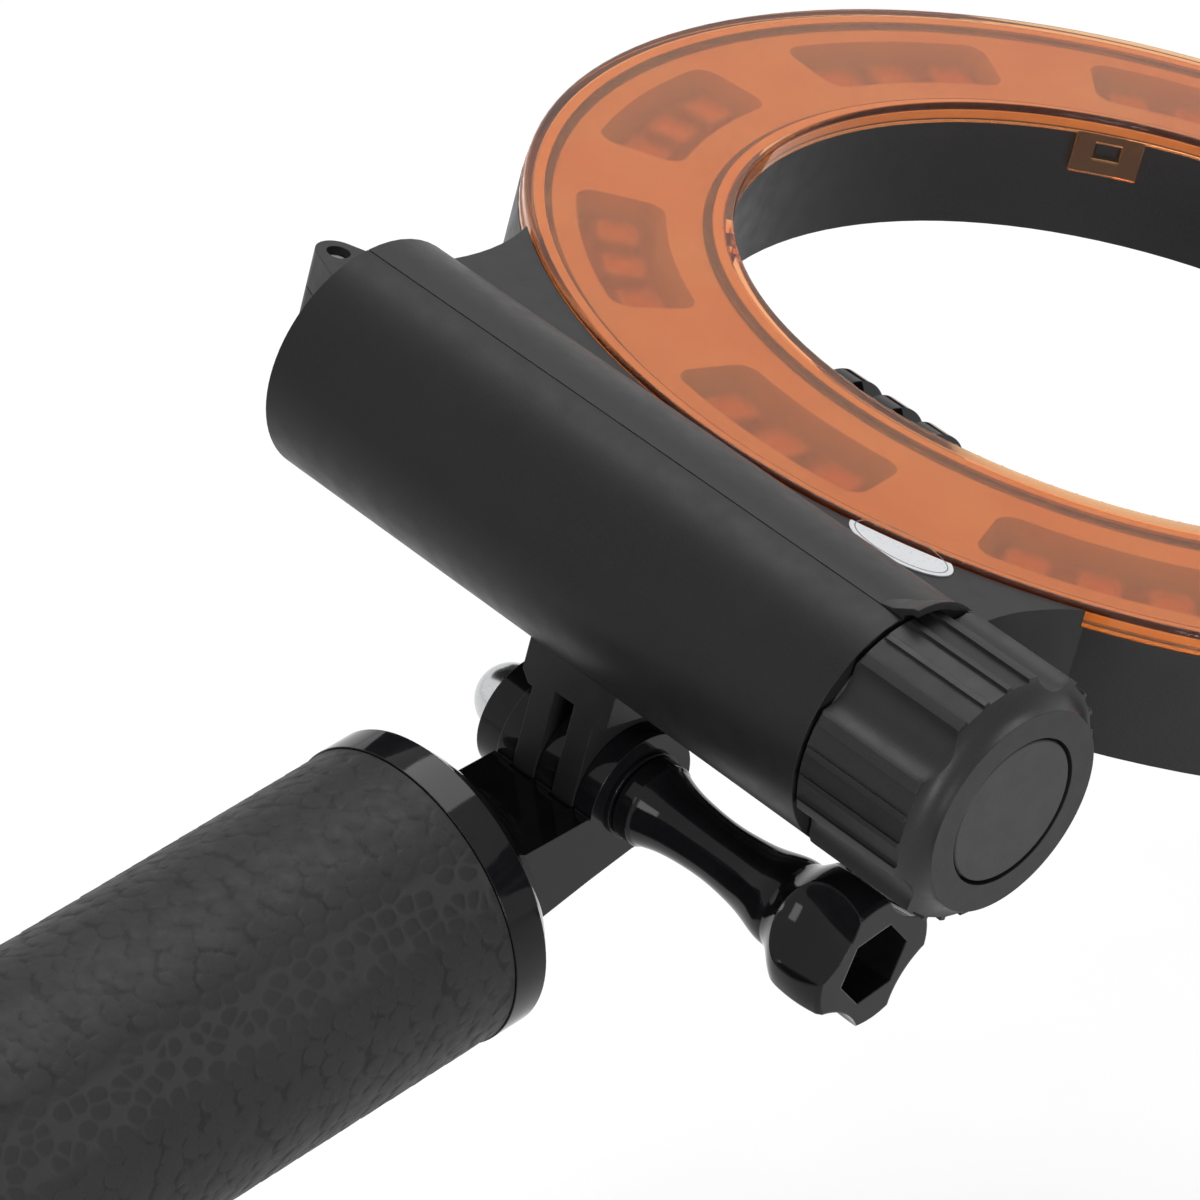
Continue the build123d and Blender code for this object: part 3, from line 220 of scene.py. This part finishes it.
class Look:
    """A node material with the Principled shader and short ways to add to it."""

    def __init__(self, name):
        self.material = bpy.data.materials.new(name)
        self.material.use_nodes = True
        self.tree = self.material.node_tree
        self.shader = self.tree.nodes["Principled BSDF"]
        self.output = self.tree.nodes["Material Output"]
        self.place = self.node("ShaderNodeTexCoord").outputs["Object"]
        self.rounded = None

    def node(self, kind, **values):
        made = self.tree.nodes.new(kind)
        for key, value in values.items():
            setattr(made, key, value)
        return made

    def link(self, source, target):
        self.tree.links.new(source, target)

    def set(self, **values):
        for key, value in values.items():
            self.shader.inputs[key.replace("_", " ")].default_value = value

    def base(self, source):
        self.link(source, self.shader.inputs["Base Color"])

    def rough(self, source, least, most, low=NOISE_LOW, high=NOISE_HIGH):
        """Roughness from least to most as the source goes from low to high."""
        self.link(self.span(source, low, high, least, most), self.shader.inputs["Roughness"])

    def stretched(self, scale):
        made = self.node("ShaderNodeMapping")
        made.inputs["Scale"].default_value = scale
        self.link(self.place, made.inputs["Vector"])
        return made.outputs["Vector"]

    def noise(self, size, detail, rough=0.5, vector=None):
        """Noise with features of about size millimetres and detail finer layers."""
        made = self.node("ShaderNodeTexNoise")
        made.inputs["Scale"].default_value = 1 / (size * MM)
        made.inputs["Detail"].default_value = detail
        made.inputs["Roughness"].default_value = rough
        self.link(vector or self.place, made.inputs["Vector"])
        return made.outputs["Fac"]

    def cells(self, size):
        """Distance to the edges of cells of about size millimetres."""
        made = self.node("ShaderNodeTexVoronoi", feature="DISTANCE_TO_EDGE")
        made.inputs["Scale"].default_value = 1 / (size * MM)
        self.link(self.place, made.inputs["Vector"])
        return made.outputs["Distance"]

    def tones(self, source, dark, light, high=NOISE_HIGH):
        """From the dark to the light colour as the source goes from low to high."""
        made = self.node("ShaderNodeValToRGB")
        stops = ((NOISE_LOW, dark), (high, light))
        for element, (spot, colour) in zip(made.color_ramp.elements, stops):
            element.position = spot
            element.color = colour
        self.link(source, made.inputs["Fac"])
        return made.outputs["Color"]

    def span(self, source, low, high, into_low=0.0, into_high=1.0):
        made = self.node("ShaderNodeMapRange")
        keys = ("From Min", "From Max", "To Min", "To Max")
        for key, value in zip(keys, (low, high, into_low, into_high)):
            made.inputs[key].default_value = value
        self.link(source, made.inputs["Value"])
        return made.outputs["Result"]

    def mix(self, factor, a, b):
        made = self.node("ShaderNodeMix", data_type="RGBA", blend_type="MIX")
        for socket, value in ((made.inputs[0], factor), (made.inputs[6], a), (made.inputs[7], b)):
            if isinstance(value, bpy.types.NodeSocket):
                self.link(value, socket)
            else:
                socket.default_value = value
        return made.outputs[2]

    def join(self, operation, first, second):
        """Two numbers in one Math node."""
        made = self.node("ShaderNodeMath", operation=operation)
        self.link(first, made.inputs[0])
        self.link(second, made.inputs[1])
        return made.outputs[0]

    def soft_edges(self, radius):
        if self.rounded is None:
            made = self.node("ShaderNodeBevel", samples=BEVEL_SAMPLES)
            made.inputs["Radius"].default_value = radius * MM
            self.rounded = made.outputs["Normal"]
        return self.rounded

    def bumps(self, *layers, edge=0.0):
        """Bump layers of (height source, depth in millimetres), over edges rounded to edge."""
        normal = self.soft_edges(edge) if edge else None
        for height, depth in layers:
            made = self.node("ShaderNodeBump")
            made.inputs["Strength"].default_value = 1.0
            made.inputs["Distance"].default_value = depth * MM
            self.link(height, made.inputs["Height"])
            if normal:
                self.link(normal, made.inputs["Normal"])
            normal = made.outputs["Normal"]
        self.link(normal, self.shader.inputs["Normal"])

    def worn(self, colour, lighter, radius):
        """Edges a little lighter than the faces, from how far the rounded normal turns."""
        turn = self.node("ShaderNodeVectorMath", operation="DOT_PRODUCT")
        self.link(self.soft_edges(radius), turn.inputs[0])
        self.link(self.node("ShaderNodeNewGeometry").outputs["Normal"], turn.inputs[1])
        edge = self.span(turn.outputs["Value"], *WEAR_TURN)
        patchy = self.span(self.noise(WEAR_PATCH, 3.0), *WEAR_LEVELS)
        return self.mix(self.join("MULTIPLY", edge, patchy), colour, lighter)


def under_skirt(look):
    """1 on the two rims that stand inside the filter's skirts, 0 elsewhere."""
    level = look.node("ShaderNodeVectorMath", operation="DOT_PRODUCT")
    across = look.node("ShaderNodeVectorMath", operation="CROSS_PRODUCT")
    for made in (level, across):
        look.link(look.place, made.inputs[0])
        made.inputs[1].default_value = HEAD_Z
    reach = look.node("ShaderNodeVectorMath", operation="LENGTH")
    look.link(across.outputs["Vector"], reach.inputs[0])
    walls = []
    for radius in (RIM_OUT - RIM_WALL / 2, RIM_IN + RIM_WALL / 2):
        near = look.node("ShaderNodeMath", operation="COMPARE")
        near.inputs[1].default_value = radius * MM
        near.inputs[2].default_value = (RIM_WALL / 2 + RIM_BLUR) * MM
        look.link(reach.outputs["Value"], near.inputs[0])
        walls.append(near.outputs[0])
    above = look.span(level.outputs["Value"], SKIRT_END * MM, (SKIRT_END + RIM_BLUR) * MM)
    return look.join("MULTIPLY", look.join("ADD", *walls), above)


def matt_plastic(name, colour, rough, specular, grain=0.24, depth=0.012, edge=0.2, rims=None):
    """Moulded black plastic with a fine spark-eroded grain."""
    look = Look(name)
    dark, light = (shaded(colour, factor) for factor in MATT_DRIFT)
    drift = look.tones(look.noise(9.0, 3.0), dark, light, high=0.72)
    fleck = look.span(look.noise(grain, 1.0), 0.25, 0.75)
    base = look.mix(fleck, drift, shaded(colour, *MATT_FLECK))
    base = look.worn(base, shaded(colour, MATT_WORN), edge)
    if rims:
        base = look.mix(under_skirt(look), base, rims)
    look.base(base)
    look.rough(look.noise(2.6, 4.0), *rough)
    look.set(Specular_IOR_Level=specular)
    fine, broad = look.noise(grain, 2.0, rough=0.6), look.noise(26.0, 1.0)
    look.bumps((fine, depth), (broad, 0.03), edge=edge)
    return look.material


def gloss_plastic(name, colour, rough, specular, edge=0.2):
    """Polished black plastic: slightly wavy, with faint rub marks."""
    look = Look(name)
    rub = look.span(look.noise(3.2, 5.0, rough=0.62), 0.34, 0.72)
    base = look.mix(rub, colour, shaded(colour, GLOSS_RUB))
    look.base(look.worn(base, shaded(colour, GLOSS_WORN), edge))
    scuffs = look.noise(0.35, 2.0, vector=look.stretched((1, 0.16, 0.5)))
    look.rough(look.mix(SCUFF_SHARE, rub, scuffs), *rough, low=0.25, high=0.75)
    look.set(Specular_IOR_Level=specular)
    look.bumps((look.noise(5.5, 1.0), 0.03), (look.noise(0.5, 2.0), 0.0012), edge=edge)
    return look.material


def tinted(name, colour, shade, rough, ripple, clearness=1.0, edge=0.12, deep=None, density=0.0):
    """Clear plastic; light on its way to what lies below passes straight through it."""
    look = Look(name)
    warm, cool = shaded(colour, *CLEAR_WARM), shaded(colour, *CLEAR_COOL)
    look.base(look.tones(look.noise(14.0, 2.0), warm, cool))
    look.rough(look.noise(4.0, 5.0, rough=0.65), *rough, low=0.35, high=0.75)
    look.set(Transmission_Weight=clearness, IOR=CLEAR_IOR)
    look.bumps((look.noise(18.0, 1.0), ripple), (look.noise(0.9, 3.0), 0.0006), edge=edge)
    path = look.node("ShaderNodeLightPath")
    clear_way = look.node("ShaderNodeBsdfTransparent")
    clear_way.inputs["Color"].default_value = shade
    blend = look.node("ShaderNodeMixShader")
    look.link(path.outputs["Is Shadow Ray"], blend.inputs[0])
    look.link(look.shader.outputs[0], blend.inputs[1])
    look.link(clear_way.outputs[0], blend.inputs[2])
    look.link(blend.outputs[0], look.output.inputs["Surface"])
    if density:
        absorb = look.node("ShaderNodeVolumeAbsorption")
        absorb.inputs["Color"].default_value = deep
        absorb.inputs["Density"].default_value = density
        look.link(absorb.outputs[0], look.output.inputs["Volume"])
    return look.material


def metal(name, colour, rough=(0.16, 0.32), stretch=(1, 1, 1)):
    """Bare metal with fine scratches, stretched where it was drawn or turned."""
    look = Look(name)
    lines = look.noise(0.3, 4.0, rough=0.6, vector=look.stretched(stretch))
    look.base(look.tones(lines, shaded(colour, METAL_GROOVE), colour))
    look.rough(lines, *rough)
    look.set(Metallic=1.0)
    look.bumps((lines, 0.002), (look.noise(3.0, 2.0), 0.004), edge=0.12)
    return look.material


def plain_paint(name, colour, rough, size, depth, spread, edge=0.1):
    """Pale or coloured plastic with a soft mottle."""
    look = Look(name)
    mottle = look.noise(size * 6, 4.0)
    look.base(look.tones(mottle, shaded(colour, 1 - spread), shaded(colour, 1 + spread)))
    look.rough(look.noise(size * 3, 3.0), *(rough * factor for factor in PAINT_ROUGH))
    look.bumps((look.noise(size, 2.0), depth), edge=edge)
    return look.material


def rubber_scales(name):
    """Grip rubber: dark lines between the scales, and pale channels along the band."""
    look = Look(name)
    crown = look.node("ShaderNodeAttribute", attribute_name="crown").outputs["Fac"]
    band = look.node("ShaderNodeAttribute", attribute_name="band").outputs["Fac"]
    drift = look.tones(look.noise(12.0, 3.0), linear(39, 39, 40), linear(44, 44, 45))
    channel = look.mix(band, linear(26, 26, 27), linear(51, 51, 52))
    base = look.mix(look.span(crown, 0.1, 0.8), channel, drift)
    dust = look.span(look.noise(0.12, 2.0), 0.55, 0.8, 0.0, 0.35)
    look.base(look.mix(dust, base, linear(70, 70, 70)))
    look.rough(look.noise(1.8, 4.0), 0.46, 0.6)
    look.set(Specular_IOR_Level=0.18)
    pores = look.noise(0.16, 2.0, rough=0.6)
    look.bumps((pores, 0.012), (look.noise(1.0, 3.0), 0.02))
    return look.material


def board_look(name):
    """Coated circuit board with faint tracks under the coat; its dark warm brown is partly its coat
    and partly painted shade of the deep lamp windows.
    """
    look = Look(name)
    line = look.span(look.cells(3.4), 0.05, 0.11)
    base = look.mix(line, linear(92, 64, 45), linear(108, 78, 57))
    base = look.mix(look.span(look.noise(7.0, 3.0), 0.35, 0.7), base, linear(100, 71, 50))
    look.base(base)
    look.rough(look.noise(1.2, 3.0), 0.28, 0.45)
    look.bumps((line, 0.03), (look.noise(0.4, 2.0), 0.004), edge=0.1)
    return look.material


def printed_wrap(name):
    """The cell's blue shrink wrap, with creases along it."""
    look = Look(name)
    look.base(look.tones(look.noise(5.0, 3.0), linear(34, 74, 128), linear(40, 84, 142)))
    look.rough(look.noise(1.5, 4.0), 0.18, 0.3)
    creases = look.noise(2.2, 3.0, rough=0.6, vector=look.stretched((0.2, 1, 1)))
    look.bumps((creases, 0.03), edge=0.15)
    return look.material


def add_object(name, data):
    made = bpy.data.objects.new(name, data)
    bpy.context.scene.collection.objects.link(made)
    return made


def new_piece(name, verts, faces, body, materials, replaced=(), smooth=True):
    mesh = bpy.data.meshes.new(name)
    mesh.from_pydata([tuple(v) for v in verts], [], [tuple(f) for f in faces])
    mesh.update()
    for polygon in mesh.polygons:
        polygon.use_smooth = smooth
    for material in materials:
        mesh.materials.append(material)
    piece = add_object(name, mesh)
    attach(piece, body)
    if replaced:
        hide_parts(*replaced)
    return piece


def paint(material, *names):
    for name in names:
        slots = nodes[name].data.materials
        slots.clear()
        slots.append(material)


def scale_seeds(rng):
    """Jittered, staggered seeds of the sleeve's scales: distance along it and around it."""
    around = 2 * pi * SLEEVE_RADIUS
    rows = round(around / SCALE_WIDTH / 2) * 2
    columns = int(SLEEVE_LENGTH / SCALE_LENGTH) + SPARE_COLUMNS
    seeds = []
    for row in range(rows):
        for column in range(-1, columns):
            along = (column + 0.5 * (row % 2)) * SCALE_LENGTH
            seeds.append((along, row * around / rows))
    seeds = np.array(seeds)
    stray = (SCALE_STRAY[0] * SCALE_LENGTH, SCALE_STRAY[1] * SCALE_WIDTH)
    seeds += rng.normal(0, 1, seeds.shape) * stray
    seeds[:, 1] %= around
    return seeds


def scale_tree():
    """The seeds in a tree, stretched to square scales and repeated once round each way."""
    around = 2 * pi * SLEEVE_RADIUS
    seeds = scale_seeds(np.random.default_rng(SCALE_SEED))
    tree = kdtree.KDTree(len(seeds) * 3)
    for shift in (-around, 0, around):
        for index, (along, place) in enumerate(seeds):
            tree.insert((along, (place + shift) * SCALE_LENGTH / SCALE_WIDTH, 0), index)
    tree.balance()
    return tree


def scale_at(tree, along, phi):
    """How deep the sleeve is pressed at a point, how much it is crown and how much band."""
    place = phi * SLEEVE_RADIUS
    near, after = tree.find_n((along, place * SCALE_LENGTH / SCALE_WIDTH, 0), 2)
    edge = min((after[2] - near[2]) / 2, SCALE_REACH - near[2])
    off = abs((phi - BAND_ANGLE + pi) % (2 * pi) - pi)
    band = max(0.0, 1 - max(0.0, off - BAND_HALF) / BAND_HALF)
    t = max(0.0, min(1.0, edge / (LINE_WIDTH + BAND_WIDER * band)))
    smooth = t * t * (3 - 2 * t)
    lean = (along - near[0][0]) / SCALE_LENGTH
    free = max(LINE_LEAST, min(1.0, LINE_MIDDLE + LINE_SLOPE * lean))
    line = (1 - smooth) * (band + (1 - band) * free * LINE_SHARE)
    drop = SCALE_DEPTH * line + SCALE_TILT * max(0.0, 0.5 - lean) * (1 - band)
    return max(0.0, drop), 1 - line, band


def make_sleeve(material):
    """The rubber sleeve as a closed tube whose outside is pressed with rounded scales."""
    tree = scale_tree()
    way = head_way(0, -cos(GRIP_ANGLE), -sin(GRIP_ANGLE))
    below = head_way(0, sin(GRIP_ANGLE), -cos(GRIP_ANGLE))
    start = PIVOT + (way * SLEEVE_START + below * GRIP_OFFSET) * MM
    verts, crowns, bands = [], [], []

    def put(along, phi, r):
        verts.append(start + (way * along - below * (r * cos(phi)) + HEAD_X * (r * sin(phi))) * MM)

    turns = [2 * pi * k / SLEEVE_COLUMNS for k in range(SLEEVE_COLUMNS)]
    for step in range(SLEEVE_ROWS):
        along = SLEEVE_LENGTH * step / (SLEEVE_ROWS - 1)
        fade = min(1.0, along / SLEEVE_FADE, (SLEEVE_LENGTH - along) / SLEEVE_FADE)
        for phi in turns:
            drop, crown, band = scale_at(tree, along, phi)
            crowns.append(crown)
            bands.append(band)
            put(along, phi, SLEEVE_RADIUS - drop * fade)
    for along in (SLEEVE_LENGTH, 0):
        for phi in turns:
            crowns.append(1.0)
            bands.append(0.0)
            put(along, phi, SLEEVE_BORE)

    faces = []
    rows = SLEEVE_ROWS + 2
    for row in range(rows):
        low, high = row * SLEEVE_COLUMNS, (row + 1) % rows * SLEEVE_COLUMNS
        for k in range(SLEEVE_COLUMNS):
            step = (k + 1) % SLEEVE_COLUMNS
            faces.append((low + k, low + step, high + step, high + k))
    piece = new_piece(
        "grip_rubber_sleeve", verts, faces, "handle", [material], ["grip_sleeve"]
    )
    for name, values in (("crown", crowns), ("band", bands)):
        layer = piece.data.attributes.new(name, "FLOAT", "POINT")
        layer.data.foreach_set("value", values)
    piece.data.set_sharp_from_angle(angle=SLEEVE_SHARP)


def head_span(name):
    """Lowest and highest corner of a CAD node in the head frame, in millimetres."""
    spots = np.array([v.co for v in nodes[name].data.vertices]) / MM
    axes = np.array([HEAD_X, HEAD_Y, HEAD_Z])
    turned = spots @ axes.T
    return turned.min(0), turned.max(0)


def chip_rings():
    """Rings of (outward, sideways, height) from a chip's foot to the middle of its pool."""
    turns = [2 * pi * (k + 0.5) / LAMP_SIDES for k in range(LAMP_SIDES)]
    half = LAMP_SIZE / 2
    squares = ((half, 0.0), (half, LAMP_HEIGHT - LAMP_BEVEL), (half - LAMP_BEVEL, LAMP_HEIGHT))
    rings = []
    for size, z in squares:
        ring = []
        for phi in turns:
            square = size / max(abs(cos(phi)), abs(sin(phi)))
            reach = min(square, size * LAMP_CORNER)
            ring.append((reach * cos(phi), reach * sin(phi), z))
        rings.append(ring)
    for radius, sunk in POOL_RINGS:
        rings.append([(radius * cos(phi), radius * sin(phi), LAMP_HEIGHT - sunk) for phi in turns])
    return rings


def make_lamps(frame_look, pool_look):
    """Lamp chips: a frame with bevelled edges around a sunk, slightly domed pool."""
    low = head_span("leds")[0]
    board_level = low[2]
    middle = -low[1] - LAMP_SIZE / 2
    rings = chip_rings()
    verts, faces, marks = [], [], []
    for window in range(WINDOW_COUNT):
        for lamp in range(LAMPS_PER_WINDOW):
            turn = radians(WINDOW_START + WINDOW_STEP * window + LAMP_STEP * (lamp - 1))
            out = Vector((cos(turn), sin(turn), 0))
            side = Vector((-sin(turn), cos(turn), 0))
            first = len(verts)
            for ring in rings:
                for a, b, z in ring:
                    spot = out * middle + out * a + side * b
                    verts.append(head(spot.x, spot.y, board_level + z))
            spots = range(first, len(verts))
            rows = [spots[k:k + LAMP_SIDES] for k in range(0, len(spots), LAMP_SIDES)]
            for level, (low_row, high_row) in enumerate(zip(rows, rows[1:])):
                for k in range(LAMP_SIDES):
                    after = (k + 1) % LAMP_SIDES
                    faces.append((low_row[k], low_row[after], high_row[after], high_row[k]))
                    marks.append(1 if level >= POOL_START else 0)
            faces.append(tuple(rows[-1]))
            marks.append(1)
            faces.append(tuple(reversed(rows[0])))
            marks.append(0)
    looks = [frame_look, pool_look]
    piece = new_piece("lamp_chips", verts, faces, "head", looks, ["leds"])
    for polygon, mark in zip(piece.data.polygons, marks):
        polygon.material_index = mark
    piece.data.set_sharp_from_angle(angle=LAMP_SHARP)


def make_label_line(material):
    """A thin raised line of ink around the blank label."""
    top = head_span("label")[1][2]
    verts, faces = [], []
    for k in range(LABEL_STEPS):
        phi = 2 * pi * k / LABEL_STEPS
        for grow, z in INK_SECTION:
            a = (LABEL_HALF[0] + grow) * cos(phi)
            b = (LABEL_HALF[1] + grow) * sin(phi)
            x = LABEL_SPOT[0] + a * cos(LABEL_TURN) - b * sin(LABEL_TURN)
            y = LABEL_SPOT[1] + a * sin(LABEL_TURN) + b * cos(LABEL_TURN)
            verts.append(head(x, y, top + z))
    corners = len(INK_SECTION)
    for k in range(LABEL_STEPS):
        here, after = corners * k, corners * ((k + 1) % LABEL_STEPS)
        for side in range(corners):
            beyond = (side + 1) % corners
            faces.append((here + side, after + side, after + beyond, here + beyond))
    new_piece("label_line", verts, faces, "head", [material], smooth=False)


def make_camera():
    data = bpy.data.cameras.new("photo_camera")
    data.lens = CAMERA_LENS
    data.sensor_width = SENSOR_WIDTH
    data.clip_start = CLIP_START
    data.clip_end = CLIP_END
    camera = add_object("photo_camera", data)
    right = head_way(*CAMERA_RIGHT).normalized()
    up = -head_way(*CAMERA_DOWN).normalized()
    turn = Matrix((right, up, right.cross(up))).transposed().to_4x4()
    camera.matrix_world = Matrix.Translation(head(*CAMERA_SPOT)) @ turn
    bpy.context.scene.camera = camera


def make_lamp(name, spot, size, watts):
    data = bpy.data.lights.new(name, "AREA")
    data.shape = "RECTANGLE"
    data.size, data.size_y = size
    data.energy = watts
    lamp = add_object(name, data)
    lamp.location = spot
    lamp.rotation_euler = (head(*LAMP_AIM) - Vector(spot)).to_track_quat("-Z", "Y").to_euler()


def seen_rays(tree):
    """1 where the camera, a mirror or a clear piece looks, 0 where light is gathered."""
    path = tree.nodes.new("ShaderNodeLightPath")
    seen = path.outputs[SEEN_RAYS[0]]
    for name in SEEN_RAYS[1:]:
        most = tree.nodes.new("ShaderNodeMath")
        most.operation = "MAXIMUM"
        tree.links.new(seen, most.inputs[0])
        tree.links.new(path.outputs[name], most.inputs[1])
        seen = most.outputs[0]
    return seen


def make_world():
    world = bpy.data.worlds.new("studio")
    bpy.context.scene.world = world
    world.use_nodes = True
    tree = world.node_tree
    background = tree.nodes["Background"]
    background.inputs["Color"].default_value = WHITE
    level = tree.nodes.new("ShaderNodeMapRange")
    level.inputs["To Min"].default_value = WORLD_LIGHT
    level.inputs["To Max"].default_value = WORLD_SEEN
    tree.links.new(seen_rays(tree), level.inputs["Value"])
    tree.links.new(level.outputs["Result"], background.inputs["Strength"])


def floor_level():
    """Just under the lowest point that the handle reaches as it swings on its pivot."""
    reach = 0.0
    for name in HANDLE_NODES:
        for v in nodes[name].data.vertices:
            reach = max(reach, hypot(v.co.y - PIVOT.y, v.co.z - PIVOT.z))
    return min(cad_low.z, PIVOT.z - reach - FLOOR_GAP * MM)


def floor_look():
    """Pale floor that keeps the shadow; its glow is only seen and lights nothing."""
    look = Look("floor")
    look.base(look.tones(look.noise(60.0, 3.0), FLOOR_DARK, FLOOR_PALE))
    look.set(Roughness=0.9, Specular_IOR_Level=0.1)
    look.bumps((look.noise(0.8, 2.0), 0.02))
    glow = look.node("ShaderNodeEmission")
    glow.inputs["Color"].default_value = WHITE
    look.link(look.span(seen_rays(look.tree), 0.0, 1.0, 0.0, FLOOR_GLOW), glow.inputs["Strength"])
    add = look.node("ShaderNodeAddShader")
    look.link(look.shader.outputs[0], add.inputs[0])
    look.link(glow.outputs[0], add.inputs[1])
    look.link(add.outputs[0], look.output.inputs["Surface"])
    return look.material


def make_floor():
    low = floor_level()
    mesh = bpy.data.meshes.new("floor")
    signs = ((-1, -1), (1, -1), (1, 1), (-1, 1))
    corners = [(x * FLOOR_HALF, y * FLOOR_HALF, low) for x, y in signs]
    mesh.from_pydata(corners, [], [(0, 1, 2, 3)])
    mesh.materials.append(floor_look())
    floor = add_object("floor", mesh)


# Black plastics: colour, least and most roughness, specular level
black = linear(36, 36, 37)
polish = linear(18, 18, 20)
housing = matt_plastic("housing_plastic", black, (0.36, 0.46), 0.2, rims=linear(168, 162, 150))
shell = matt_plastic("shell_plastic", linear(31, 31, 32), (0.34, 0.44), 0.15, grain=0.2, depth=0.01)
cap = matt_plastic("cap_plastic", black, (0.34, 0.44), 0.2, grain=0.22, edge=0.12)
disc = matt_plastic("disc_plastic", linear(56, 56, 57), (0.42, 0.52), 0.2, grain=0.18, depth=0.008)
gloss = gloss_plastic("mount_gloss", polish, (0.04, 0.1), 0.18)
knob_gloss = gloss_plastic("knob_gloss", polish, (0.03, 0.08), 0.18, edge=0.3)
rubber = rubber_scales("grip_scales")

# Clear plastics: colour, colour let through to what lies below, roughness, ripple
orange = tinted(
    "filter_tint",
    (0.96, 0.65, 0.346, 1),
    (0.94, 0.606, 0.331, 1),
    (0.02, 0.06),
    0.01,
    clearness=0.99,
    edge=0.3,
    deep=(0.95, 0.45, 0.1, 1),
    density=260.0,
)
clear = tinted("lens_frost", (0.96, 0.95, 0.93, 1), (0.93, 0.92, 0.9, 1), (0.2, 0.25), 0.004)

# Paints and small parts: colour, roughness, size of the mottle, depth, spread and soft edge
pale = plain_paint("mask_plastic", linear(168, 168, 164), 0.5, 0.3, 0.01, 0.04)
# Chip frames are painted darker and warmer than white, as painted shade of the deep lamp windows
shaded_chip_frame = plain_paint("chip_frame", linear(146, 120, 94), 0.4, 0.2, 0.005, 0.04)
phosphor = plain_paint("chip_phosphor", linear(156, 112, 40), 0.25, 0.25, 0.01, 0.08)
seal = plain_paint("seal_rubber", linear(60, 60, 62), 0.6, 0.2, 0.01, 0.12)
label_white = plain_paint("label_film", linear(236, 237, 240), 0.3, 0.15, 0.003, 0.02, 0.05)
ink = plain_paint("label_ink", linear(120, 122, 128), 0.4, 0.1, 0.002, 0.08, 0.0)
core = plain_paint("core_plastic", linear(70, 70, 70), 0.6, 0.3, 0.02, 0.1)
lead = plain_paint("lead_sleeve", linear(150, 40, 32), 0.45, 0.2, 0.01, 0.08)
parts_dark = plain_paint("driver_plastic", linear(34, 34, 38), 0.35, 0.2, 0.01, 0.15)
# The board's dark warm brown is partly painted shade of the deep lamp windows
board = board_look("board_coat")
wrap = printed_wrap("cell_wrap")

# Metals: colour, least and most roughness, stretch of the scratches
steel = metal("steel_metal", (0.62, 0.63, 0.64, 1), (0.14, 0.26))
bolt_steel = metal("bolt_metal", (0.8, 0.8, 0.8, 1), (0.4, 0.55))
brass = metal("brass_metal", (0.72, 0.58, 0.32, 1))
tube = metal("tube_metal", (0.5, 0.5, 0.52, 1), (0.3, 0.45), (0.05, 1, 1))

paint(housing, "front_housing", "rear_cover")
paint(shell, "barrel_shell")
paint(cap, "cap_body")
paint(disc, "cap_disc")
paint(gloss, "handle_adapter", "end_cap", "camera_mount", "thumb_washer")
paint(knob_gloss, "thumb_knob")
paint(orange, "color_filter")
paint(clear, "lens_ring")
paint(pale, "reflector_mask")
paint(board, "led_board", "driver_board")
paint(parts_dark, "driver_parts")
paint(seal, "cover_seal", "lens_seals", "neck_o_rings", "end_cap_seal")
paint(steel, "board_screws", "cover_screws", "tube_spring", "cap_spring", "dome_nut")
paint(bolt_steel, "thumb_bolt", "lug_screw")
paint(brass, "tube_contact", "cap_contact")
paint(tube, "battery_tube")
paint(wrap, "battery_cell")
paint(label_white, "label")
paint(core, "handle_core")
paint(lead, "board_leads", "battery_leads")

make_sleeve(rubber)
make_lamps(shaded_chip_frame, phosphor)
make_label_line(ink)

make_camera()
make_world()
make_floor()
for lamp in LAMPS:
    make_lamp(*lamp)
bpy.context.scene.view_settings.view_transform = "Standard"
